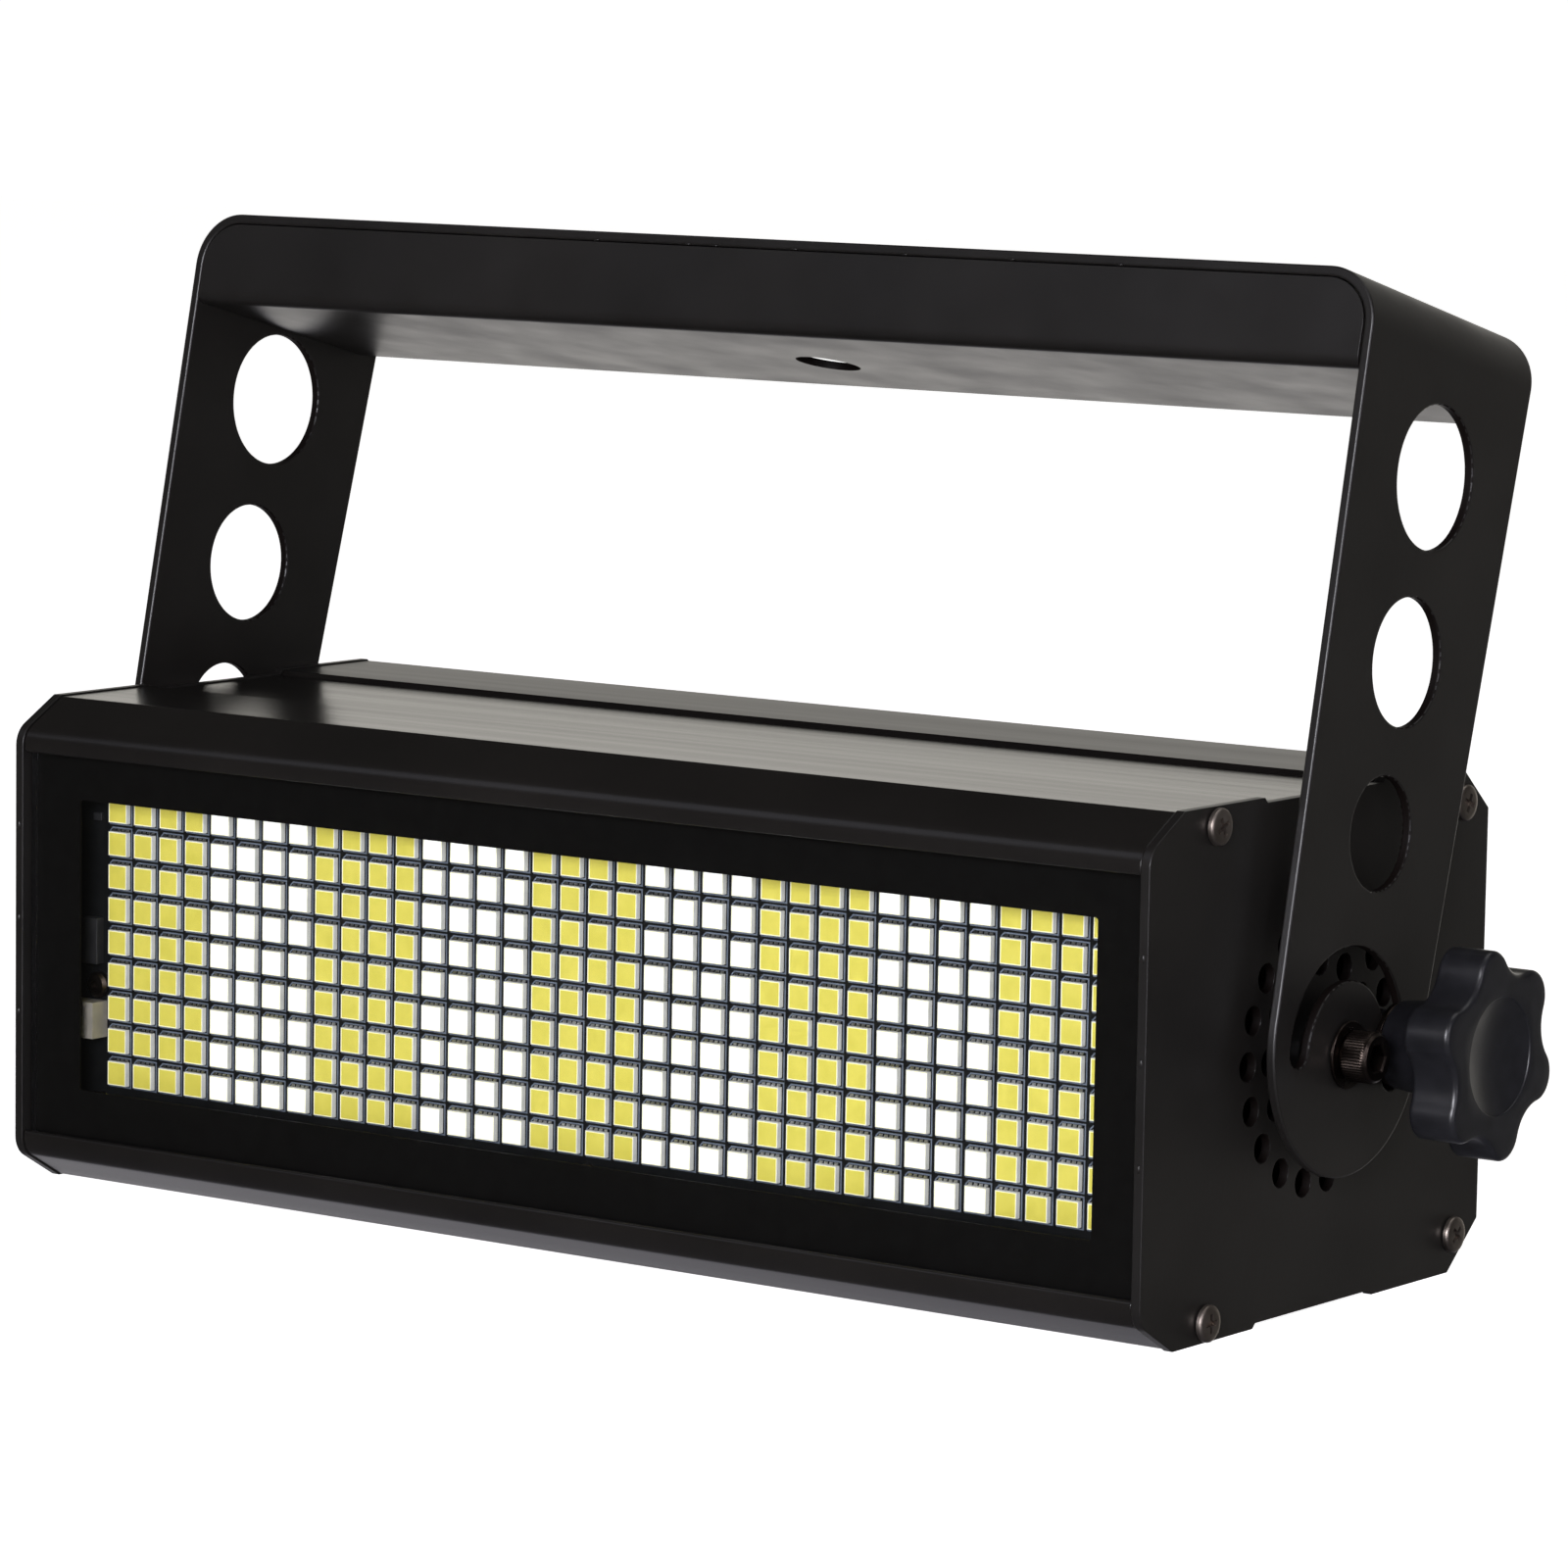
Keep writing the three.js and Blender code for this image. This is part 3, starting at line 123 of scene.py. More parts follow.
class NodeTree:
    """Short calls for building the nodes of a material or a world."""

    def __init__(self, owner: bpy.types.Material | bpy.types.World, output: str) -> None:
        """Starts with an empty node tree.

        Args:
            owner: The material or world.
            output: The type of its output node.
        """
        self.owner = owner
        owner.use_nodes = True
        self.tree = owner.node_tree
        self.tree.nodes.clear()
        self.output = self.node(output)

    @classmethod
    def of_material(cls, name: str) -> NodeTree:
        """The empty tree of a new material."""
        return cls(bpy.data.materials.new(name), "OutputMaterial")

    def node(
            self, kind: str, inputs: dict[str | int, object] | None = None,
            **values: object) -> bpy.types.Node:
        """Adds a node, sets its properties and fills its sockets.

        Args:
            kind: The node's Blender type after ShaderNode.
            inputs: For an input's name or number, its value or the socket that joins it.
            **values: Properties of the node.

        Returns:
            The new node.
        """
        made = self.tree.nodes.new("ShaderNode" + kind)
        for key, value in values.items():
            setattr(made, key, value)
        for key, value in (inputs or {}).items():
            if isinstance(value, bpy.types.NodeSocket):
                self.tree.links.new(value, made.inputs[key])
            else:
                made.inputs[key].default_value = value
        return made

    def noise(self, noise: Noise) -> bpy.types.NodeSocket:
        """Noise on Object coordinates.

        Args:
            noise: Its scale, detail and stretch.

        Returns:
            The noise's factor socket.
        """
        place = self.node("TexCoord").outputs["Object"]
        mapping = self.node("Mapping", {"Vector": place, "Scale": noise.stretch})
        inputs = {"Vector": mapping.outputs["Vector"], "Scale": noise.scale, "Detail": noise.detail}
        return self.node("TexNoise", inputs).outputs["Fac"]

    def mapped(
            self, factor: bpy.types.NodeSocket, source: Span, target: Span = (0, 1),
            **values: object) -> bpy.types.NodeSocket:
        """Maps one range of values to another.

        Args:
            factor: The socket to map.
            source: The range's two ends.
            target: What they become.
            **values: Properties of the node.

        Returns:
            The mapped socket.
        """
        names = ("From Min", "From Max", "To Min", "To Max")
        return self.node(
            "MapRange", {"Value": factor, **dict(zip(names, (*source, *target)))}, **values).outputs["Result"]

    def tint(self, factor: bpy.types.NodeSocket, dark: Colour, light: Colour) -> bpy.types.NodeSocket:
        """Mixes two colours by a noise.

        Args:
            factor: The noise.
            dark: Colour at a low factor.
            light: Colour at a high factor.

        Returns:
            The colour socket.
        """
        ramp = self.node("ValToRGB", {"Fac": factor})
        for element, place, colour in zip(ramp.color_ramp.elements, NOISE_RANGE, (dark, light)):
            element.position = place
            element.color = (*colour, 1)
        return ramp.outputs["Color"]

    def bump(
            self, noise: Noise, depth: float, strength: float,
            under: bpy.types.NodeSocket | None = None) -> bpy.types.NodeSocket:
        """A relief of noise.

        Args:
            noise: The noise that is its height.
            depth: The height's real size in metres.
            strength: The bump's strength.
            under: The normal of a coarser relief under it.

        Returns:
            The normal socket.
        """
        inputs = {"Height": self.noise(noise), "Distance": depth, "Strength": strength}
        if under is not None:
            inputs["Normal"] = under
        return self.node("Bump", inputs).outputs["Normal"]

    def closed(self, shader: bpy.types.NodeSocket) -> bpy.types.Material | bpy.types.World:
        """Joins a shader to the output and gives the material or world."""
        self.tree.links.new(shader, self.output.inputs["Surface"])
        return self.owner


@dataclass(frozen=True)
class Moulded:
    """Moulded plastic, resin or print: two near shades in patches, varied gloss and fine grain."""

    name: str
    dark: Colour
    light: Colour
    roughness: Span
    patches: Noise = Noise(300, 3)
    gloss: Noise = Noise(120, 4)
    grain: Noise = Noise(1500, 2)
    lines: Noise | None = None
    depth: float = 0.00002
    strength: float = 0.5
    metallic: float = 0
    ior: float = 1.5
    # Emission in the light shade: painted light on the diode parts, an evenly bright surface on the floor.
    glow: float = 0

    def build(self) -> bpy.types.Material:
        """Makes the material.

        Returns:
            The material: die lines, where it has them, lie under its grain.
        """
        tree = NodeTree.of_material(self.name)
        under = tree.bump(self.lines, self.depth, LINE_STRENGTH) if self.lines else None
        inputs = {
            "Base Color": tree.tint(tree.noise(self.patches), self.dark, self.light),
            "Roughness": tree.mapped(tree.noise(self.gloss), NOISE_RANGE, self.roughness),
            "Normal": tree.bump(self.grain, self.depth, self.strength, under),
            "Metallic": self.metallic,
            "IOR": self.ior,
        }
        # Glow: emission in the light shade, which is painted light on the diode parts.
        if self.glow:
            inputs |= {"Emission Color": (*self.light, 1), "Emission Strength": self.glow}
        return tree.closed(tree.node("BsdfPrincipled", inputs).outputs["BSDF"])


@dataclass(frozen=True)
class Plated(Moulded):
    """Plated or bare metal with fine tool marks and duller patches."""

    patches: Noise = Noise(180, 4)
    gloss: Noise = Noise(90, 5)
    grain: Noise = Noise(400, 3)
    strength: float = 0.4
    metallic: float = 1


@dataclass(frozen=True)
class PowderCoat(Moulded):
    """Satin powder coat with an orange-peel skin."""

    dark: Colour = (0.0045, 0.0040, 0.0037)
    light: Colour = (0.0075, 0.0066, 0.0060)
    roughness: Span = (0.34, 0.42)
    patches: Noise = Noise(22, 4)
    gloss: Noise = Noise(60, 5)
    grain: Noise = Noise(900, 2)


@dataclass(frozen=True)
class DrawnCoat(PowderCoat):
    """Powder coat over the die lines of an extrusion."""

    gloss: Noise = Noise(260, 5, (0.015, 1, 1))
    lines: Noise | None = Noise(260, 4, (0.015, 1, 1))


@dataclass(frozen=True)
class Pane:
    """A face of clear window glass: it lets light through and mirrors by Fresnel's law."""

    name: str
    ior: float
    tone: Colour = (0.985, 0.99, 0.99)
    smear: Span = (0.01, 0.05)
    dirt: Noise = Noise(14, 5)

    def build(self) -> bpy.types.Material:
        """Makes the material.

        Returns:
            The material: a mirror with faint smears, mixed with clear by the Fresnel factor.
        """
        tree = NodeTree.of_material(self.name)
        clear = tree.node("BsdfTransparent", {"Color": (*self.tone, 1)})
        smear = tree.mapped(tree.noise(self.dirt), NOISE_RANGE, self.smear)
        mirror = tree.node("BsdfGlossy", {"Roughness": smear})
        share = tree.node("Fresnel", {"IOR": self.ior}).outputs["Fac"]
        inputs = {"Fac": share, 1: clear.outputs["BSDF"], 2: mirror.outputs["BSDF"]}
        return tree.closed(tree.node("MixShader", inputs).outputs["Shader"])


def made(finish: Moulded | Pane) -> bpy.types.Material:
    """A field that holds a finish's material."""
    return field(default_factory=finish.build)


@dataclass
class Finishes:
    """Every finish on the object, made once."""

    sheet: bpy.types.Material = made(PowderCoat("powder coat on sheet"))
    # Walls of cuts: the sheet's coat painted darker and duller, a painted shade inside the holes.
    cut: bpy.types.Material = made(PowderCoat(
        "powder coat in cuts", (0.0022, 0.0014, 0.0012), (0.004, 0.0026, 0.0022), (0.5, 0.6), ior=1.2))
    extrusion: bpy.types.Material = made(DrawnCoat("powder coat on extrusion", roughness=(0.22, 0.26)))
    band: bpy.types.Material = made(DrawnCoat("powder coat on rear band", roughness=(0.32, 0.36)))
    glass: bpy.types.Material = made(Pane("window glass", 1.5))
    glass_back: bpy.types.Material = made(Pane("window glass rear face", 1.0))
    card: bpy.types.Material = made(Moulded(
        "black print", (0.0024, 0.0022, 0.0021), (0.0034, 0.0032, 0.0030), (0.6, 0.8), ior=1.12))
    # The glow on the phosphors, their pale edge and the packages is painted light: the diodes are not lit,
    # and the emission stands in for lamplight and fills the mask's shadow.
    yellow: bpy.types.Material = made(Moulded(
        "yellow phosphor", (0.45, 0.40, 0.050), (0.52, 0.46, 0.070), (0.45, 0.6),
        grain=Noise(2500, 2), glow=0.38))
    cream: bpy.types.Material = made(Moulded(
        "pale phosphor edge", (0.74, 0.71, 0.34), (0.80, 0.77, 0.42), (0.45, 0.6),
        grain=Noise(2500, 2), glow=0.45))
    white: bpy.types.Material = made(Moulded(
        "white phosphor", (0.93, 0.93, 0.91), (0.97, 0.97, 0.95), (0.4, 0.55),
        grain=Noise(2500, 2), glow=0.6))
    package: bpy.types.Material = made(Moulded(
        "diode package", (0.40, 0.40, 0.38), (0.52, 0.52, 0.49), (0.4, 0.55),
        grain=Noise(2500, 2), glow=0.4))
    board: bpy.types.Material = made(Moulded(
        "black solder mask", (0.0035, 0.004, 0.0045), (0.006, 0.0065, 0.007), (0.35, 0.5),
        grain=Noise(700, 2), ior=1.25))
    legend: bpy.types.Material = made(Moulded(
        "grey-blue legend print", (0.085, 0.105, 0.140), (0.12, 0.145, 0.185), (0.5, 0.7)))
    solder: bpy.types.Material = made(Plated("solder", (0.3, 0.3, 0.31), (0.5, 0.5, 0.52), (0.25, 0.4)))
    nickel: bpy.types.Material = made(Plated(
        "bright nickel", (0.42, 0.37, 0.33), (0.60, 0.55, 0.50), (0.16, 0.3)))
    bronze: bpy.types.Material = made(Plated(
        "dark bronze plating", (0.20, 0.17, 0.145), (0.32, 0.28, 0.25), (0.36, 0.5)))
    oxide: bpy.types.Material = made(Plated(
        "black oxide", (0.040, 0.031, 0.026), (0.080, 0.063, 0.054), (0.24, 0.38)))
    zinc: bpy.types.Material = made(Plated(
        "zinc plating", (0.38, 0.37, 0.35), (0.52, 0.51, 0.49), (0.25, 0.4)))
    aluminium: bpy.types.Material = made(Plated(
        "extruded aluminium", (0.62, 0.62, 0.63), (0.72, 0.72, 0.73), (0.3, 0.45),
        grain=Noise(300, 3, (0.01, 1, 1))))
    knob: bpy.types.Material = made(Moulded(
        "knob plastic", (0.0052, 0.0052, 0.0064), (0.0078, 0.0078, 0.0098), (0.3, 0.4),
        grain=Noise(1800, 2)))
    plastic: bpy.types.Material = made(Moulded(
        "black moulding", (0.010, 0.010, 0.011), (0.016, 0.016, 0.017), (0.4, 0.55)))
    header: bpy.types.Material = made(Moulded(
        "white moulding", (0.20, 0.185, 0.155), (0.27, 0.25, 0.215), (0.4, 0.55)))
    lens: bpy.types.Material = made(Moulded(
        "smoked lens", (0.004, 0.005, 0.007), (0.006, 0.008, 0.010), (0.06, 0.12), grain=Noise(200, 2)))
    green: bpy.types.Material = made(Moulded(
        "green solder mask", (0.010, 0.060, 0.022), (0.016, 0.09, 0.034), (0.3, 0.45)))


# Shapes: all are worked out in millimetres from the tilt axis


@dataclass
class Shape:
    """A surface as arrays: points in millimetres, faces, and a material number for each face."""

    points: np.ndarray
    faces: list[list[int]]
    slots: np.ndarray

    @staticmethod
    def of_grid(grid: np.ndarray, wrap_rows: bool = False, wrap_columns: bool = True, slot: int = 0) -> Shape:
        """Joins neighbouring points of a grid by quads.

        Args:
            grid: Points, of shape (rows, columns, 3).
            wrap_rows: Whether the last row joins the first.
            wrap_columns: Whether the last column joins the first.
            slot: The material number of all faces.

        Returns:
            The surface.
        """
        rows, columns = grid.shape[:2]
        index = np.arange(rows * columns).reshape(rows, columns)
        if wrap_rows:
            index = np.vstack([index, index[:1]])
        if wrap_columns:
            index = np.hstack([index, index[:, :1]])
        quads = np.stack([index[:-1, :-1], index[:-1, 1:], index[1:, 1:], index[1:, :-1]], axis=-1)
        quads = quads.reshape(-1, 4)
        return Shape(grid.reshape(-1, 3), quads.tolist(), np.full(len(quads), slot))

    @staticmethod
    def joined(parts: Iterable[Shape]) -> Shape:
        """Puts several surfaces in one.

        Args:
            parts: The surfaces.

        Returns:
            One surface with all their points and faces.
        """
        listed = list(parts)
        starts = np.cumsum([0] + [len(part.points) for part in listed[:-1]])
        faces = [
            [corner + start for corner in face]
            for part, start in zip(listed, starts) for face in part.faces]
        points, slots = ([getattr(part, key) for part in listed] for key in ("points", "slots"))
        return Shape(np.concatenate(points), faces, np.concatenate(slots))

    def moved(self, x: float = 0, y: float = 0, z: float = 0) -> Shape:
        """The surface moved by a distance along each axis."""
        return Shape(self.points + np.array([x, y, z]), self.faces, self.slots)

    def turned(self, matrix: Matrix) -> Shape:
        """The surface turned by a rotation matrix."""
        return Shape(self.points @ np.array(matrix.to_3x3()).T, self.faces, self.slots)

    def scaled(self, x: float, y: float, z: float) -> Shape:
        """The surface with its points multiplied along each axis."""
        return Shape(self.points * np.array([x, y, z]), self.faces, self.slots)

    def flipped(self, columns: Sequence[int] = (0, 1, 2)) -> Shape:
        """The surface with its faces turned round and its coordinates in another order."""
        return Shape(self.points[:, columns], [face[::-1] for face in self.faces], self.slots)

    def on(self, side: Side) -> Shape:
        """The surface, or for the left side its mirror image across the middle plane."""
        return self if side is Side.RIGHT else self.scaled(-1, 1, 1).flipped()

    def marked(self, faces: Iterable[bool]) -> Shape:
        """The surface with material 1 on some of its faces."""
        return Shape(self.points, self.faces, np.array(list(faces)).astype(int))


def prism_x(outline: np.ndarray, start: float, end: float, slot: int = 0) -> Shape:
    """A closed outline in Y and Z carried along X, with flat ends.

    Args:
        outline: Points (y, z), anticlockwise seen from +X.
        start: Lowest x.
        end: Highest x.
        slot: The material number.

    Returns:
        The prism.
    """
    count = len(outline)
    rings = [np.column_stack([np.full(count, x), outline]) for x in (start, end)]
    sides = Shape.of_grid(np.stack(rings), slot=slot)
    faces = sides.faces + [list(range(count))[::-1], list(range(count, 2 * count))]
    return Shape(sides.points, faces, np.full(len(faces), slot))


def along_y(shape: Shape) -> Shape:
    """Lays a shape made along X down along Y, its place along X becoming its place along Y."""
    return shape.flipped((1, 0, 2))


def prism_y(outline: np.ndarray, start: float, end: float) -> Shape:
    """A closed outline in X and Z, anticlockwise seen from +Y, carried along Y, with flat ends."""
    return along_y(prism_x(outline, start, end))


def revolved(profile: Sequence[Sequence[float]], sides: int) -> Shape:
    """Turns a profile about the X axis: a point at distance r and place x becomes a ring of radius r.

    Args:
        profile: Points (radius, x), from one pole or edge to the other.
        sides: Points in each ring.

    Returns:
        The surface of revolution.
    """
    radius, along = (column[:, None] for column in np.array(profile, float).T)
    angle = TURN * np.arange(sides) / sides
    rings = [np.broadcast_to(along, (len(along), sides)), radius * np.cos(angle), radius * np.sin(angle)]
    return Shape.of_grid(np.stack(rings, axis=-1))


def rod(radius: float, start: float, end: float, sides: int) -> Shape:
    """A round rod along X with flat ends."""
    return revolved([(0, start), (radius, start), (radius, end), (0, end)], sides)


def washer(inner: float, outer: float, start: float, thick: float, edge: float) -> Shape:
    """A flat ring along X.

    Args:
        inner: Its hole's radius.
        outer: Its own radius.
        start: Its lowest x.
        thick: Its thickness.
        edge: Width of the chamfers on its outer edges.

    Returns:
        The ring.
    """
    end = start + thick
    return revolved([
        (inner, start), (outer - edge, start), (outer, start + edge), (outer, end - edge),
        (outer - edge, end), (inner, end), (inner, start)], ROUND)


def nub(proud: float, length: float) -> Shape:
    """A small spindle along X, like the rest of a tab that held a sheet: its radius and half length."""
    waist, middle = proud * NUB_WAIST, length / 2
    return revolved([(0, -length), (waist, -middle), (proud, 0), (waist, middle), (0, length)], NUB_SIDES)


def rectangle(width: float, height: float) -> np.ndarray:
    """Corners of a rectangle round zero, anticlockwise from the lowest."""
    a, b = width / 2, height / 2
    return np.array([[-a, -b], [a, -b], [a, b], [-a, b]])


def block(low: Sequence[float], high: Sequence[float], slot: int = 0) -> Shape:
    """A box between two corners."""
    outline = np.array([[low[1], low[2]], [high[1], low[2]], [high[1], high[2]], [low[1], high[2]]], float)
    return prism_x(outline, low[0], high[0], slot)


def arc(centre: Sequence[float], radius: float, start: float, end: float, steps: int) -> np.ndarray:
    """Points of an arc: the centre plus the radius times (cosine, sine) of evenly spaced angles."""
    angle = np.linspace(start, end, steps + 1)
    return np.array(centre, float) + radius * np.column_stack([np.cos(angle), np.sin(angle)])


def round_rectangle(width: float, height: float, radius: float) -> np.ndarray:
    """Outline of a rectangle whose corners are quarter circles, anticlockwise round zero.

    Args:
        width: Its width.
        height: Its height.
        radius: The corners' radius.

    Returns:
        Its points, from the lowest angle of the upper right corner.
    """
    centres = np.roll(rectangle(width - 2 * radius, height - 2 * radius), 2, axis=0)
    return np.concatenate([
        arc(centre, radius, number * TURN / 4, (number + 1) * TURN / 4, CORNER_STEPS)
        for number, centre in enumerate(centres)])


def fillet(
        before: Sequence[float], corner: Sequence[float], after: Sequence[float],
        radius: float, steps: int) -> np.ndarray:
    """Rounds a corner by the arc that touches both of its sides.

    Args:
        before: A point on the side that leads to the corner.
        corner: The corner.
        after: A point on the side that leaves it.
        radius: The arc's radius.
        steps: Steps along the arc.

    Returns:
        The arc's points.
    """
    at = np.array(corner, float)
    to_before, to_after = ((np.array(p) - at) / np.linalg.norm(np.array(p) - at) for p in (before, after))
    half = math.acos(float(to_before @ to_after)) / 2
    middle = (to_before + to_after) / np.linalg.norm(to_before + to_after)
    centre = at + middle * radius / math.sin(half)
    start, end = (at + p * radius / math.tan(half) - centre for p in (to_before, to_after))
    first = math.atan2(start[1], start[0])
    sweep = math.remainder(math.atan2(end[1], end[0]) - first, TURN)
    return arc(centre, radius, first, first + sweep, steps)


def offset_path(path: np.ndarray, distance: float) -> np.ndarray:
    """Moves an open path sideways, to the right of its direction, keeping its corners sharp.

    Args:
        path: Points of the path.
        distance: How far each stretch moves.

    Returns:
        The moved points: each goes along the sum of its neighbours' normals, by the distance over
        one plus the cosine between them.
    """
    along = np.diff(path, axis=0)
    along /= np.linalg.norm(along, axis=1)[:, None]
    normals = np.column_stack([along[:, 1], -along[:, 0]])
    before, after = np.vstack([normals[:1], normals]), np.vstack([normals, normals[-1:]])
    dots = np.sum(before * after, axis=1)[:, None]
    return path + (before + after) * distance / (1 + dots)


# Blender objects


def placed(name: str, data: bpy.types.ID) -> bpy.types.Object:
    """Makes an object in the scene.

    Args:
        name: Its name.
        data: Its mesh, lamp or camera.

    Returns:
        The object.
    """
    thing = bpy.data.objects.new(name, data)
    bpy.context.scene.collection.objects.link(thing)
    return thing


def dress(frame: dict, node: str, material: bpy.types.Material) -> None:
    """Gives a CAD node a finish.

    Args:
        frame: The loaded frame.
        node: The node's name.
        material: The finish.
    """
    data = frame["nodes"][node].data
    data.materials.clear()
    data.materials.append(material)
    LOG.info("%s gets its finish", node)


class Workshop:
    """Makes Blender objects of shapes, cuts and bevels them, and hangs them on the frame."""

    def __init__(self, pivot: Vector) -> None:
        """Remembers where the tilt axis is.

        Args:
            pivot: The tilt axis midway between the plates, in metres, in the row frame.
        """
        self.pivot = pivot
        self.pieces = 0

    def mesh(self, name: str, shape: Shape, materials: Sequence[bpy.types.Material]) -> bpy.types.Object:
        """Turns a shape into an object whose place is in its mesh.

        Args:
            name: The object's name.
            shape: The surface, in millimetres from the tilt axis.
            materials: The materials its faces number.

        Returns:
            The object, its doubled points merged and its faces pointing outwards.
        """
        data = bpy.data.meshes.new(name)
        points = shape.points * MM + np.array(self.pivot)
        data.from_pydata(points.tolist(), [], shape.faces)
        for material in materials:
            data.materials.append(material)
        data.polygons.foreach_set("material_index", shape.slots.astype(np.int32))
        work = bmesh.new()
        work.from_mesh(data)
        bmesh.ops.remove_doubles(work, verts=work.verts, dist=SAME_POINT)
        bmesh.ops.recalc_face_normals(work, faces=work.faces)
        work.to_mesh(data)
        work.free()
        return placed(name, data)

    def modify(self, piece: bpy.types.Object, kind: str, **values: object) -> None:
        """Adds a modifier to a piece and makes its result the piece's mesh.

        Args:
            piece: The piece.
            kind: The modifier's Blender type.
            **values: Its properties.
        """
        modifier = piece.modifiers.new(kind, kind)
        for key, value in values.items():
            setattr(modifier, key, value)
        graph = bpy.context.evaluated_depsgraph_get()
        graph.update()
        result = bpy.data.meshes.new_from_object(piece.evaluated_get(graph))
        piece.modifiers.clear()
        piece.data = result

    def combine(self, piece: bpy.types.Object, tool: Shape, operation: str, slot: int = 0) -> None:
        """Cuts a piece by a shape, or keeps what both share.

        Args:
            piece: The piece.
            tool: The other surface.
            operation: DIFFERENCE or INTERSECT.
            slot: The material number of the faces that the cut makes.
        """
        numbered = Shape(tool.points, tool.faces, np.full(len(tool.faces), slot))
        other = self.mesh(piece.name + "_tool", numbered, list(piece.data.materials))
        self.modify(piece, "BOOLEAN", object=other, operation=operation, solver="EXACT")
        bpy.data.objects.remove(other)

    def bevel(self, piece: bpy.types.Object, width: float, segments: int) -> None:
        """Rounds a piece's edges and smooths it.

        Args:
            piece: The piece.
            width: The rounding's width in millimetres.
            segments: Steps across it.
        """
        piece.data.polygons.foreach_set("use_smooth", np.ones(len(piece.data.polygons), bool))
        self.modify(
            piece, "BEVEL", width=width * MM, segments=segments, limit_method="ANGLE",
            angle_limit=BEVEL_ANGLE, harden_normals=True, miter_outer="MITER_ARC")

    def smooth(self, piece: bpy.types.Object, angle: float) -> None:
        """Shades a piece smoothly except across edges sharper than an angle in degrees."""
        piece.data.polygons.foreach_set("use_smooth", np.ones(len(piece.data.polygons), bool))
        piece.data.set_sharp_from_angle(angle=math.radians(angle))

    def seat(self, piece: bpy.types.Object, body: Body | str, slot: str, *nodes: str) -> None:
        """Hangs a piece on a body in place of CAD nodes.

        Args:
            piece: The piece.
            body: The body, or its name.
            slot: The record's material slot; not used.
            *nodes: The CAD nodes it stands for.
        """
        name = body.value if isinstance(body, Body) else body
        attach(piece, name)
        if nodes:
            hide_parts(*nodes)
        self.pieces += 1
        LOG.info("%s rides on %s with %d faces", piece.name, name, len(piece.data.polygons))

    def piece(
            self, name: str, shape: Shape, materials: Sequence[bpy.types.Material], body: Body | str,
            slot: str, *nodes: str, bevel: tuple[float, int] | None = None,
            smooth: float | None = None) -> None:
        """Makes an uncut piece and seats it.

        Args:
            name: The piece's name.
            shape: Its surface.
            materials: The materials its faces number.
            body: The body, or its name.
            slot: The record's material slot.
            *nodes: The CAD nodes it stands for.
            bevel: Width and steps of its rounded edges, if it has them.
            smooth: The angle up to which edges are shaded smoothly, if they are.
        """
        thing = self.mesh(name, shape, materials)
        if bevel:
            self.bevel(thing, *bevel)
        if smooth:
            self.smooth(thing, smooth)
        self.seat(thing, body, slot, *nodes)


@dataclass
class Maker:
    """What every sub-assembly is made with."""

    shop: Workshop
    finishes: Finishes

    @property
    def painted(self) -> list[bpy.types.Material]:
        """The coat on a sheet, and a darker, duller copy of it that paints shade on the walls of its cuts."""
        return [self.finishes.sheet, self.finishes.cut]


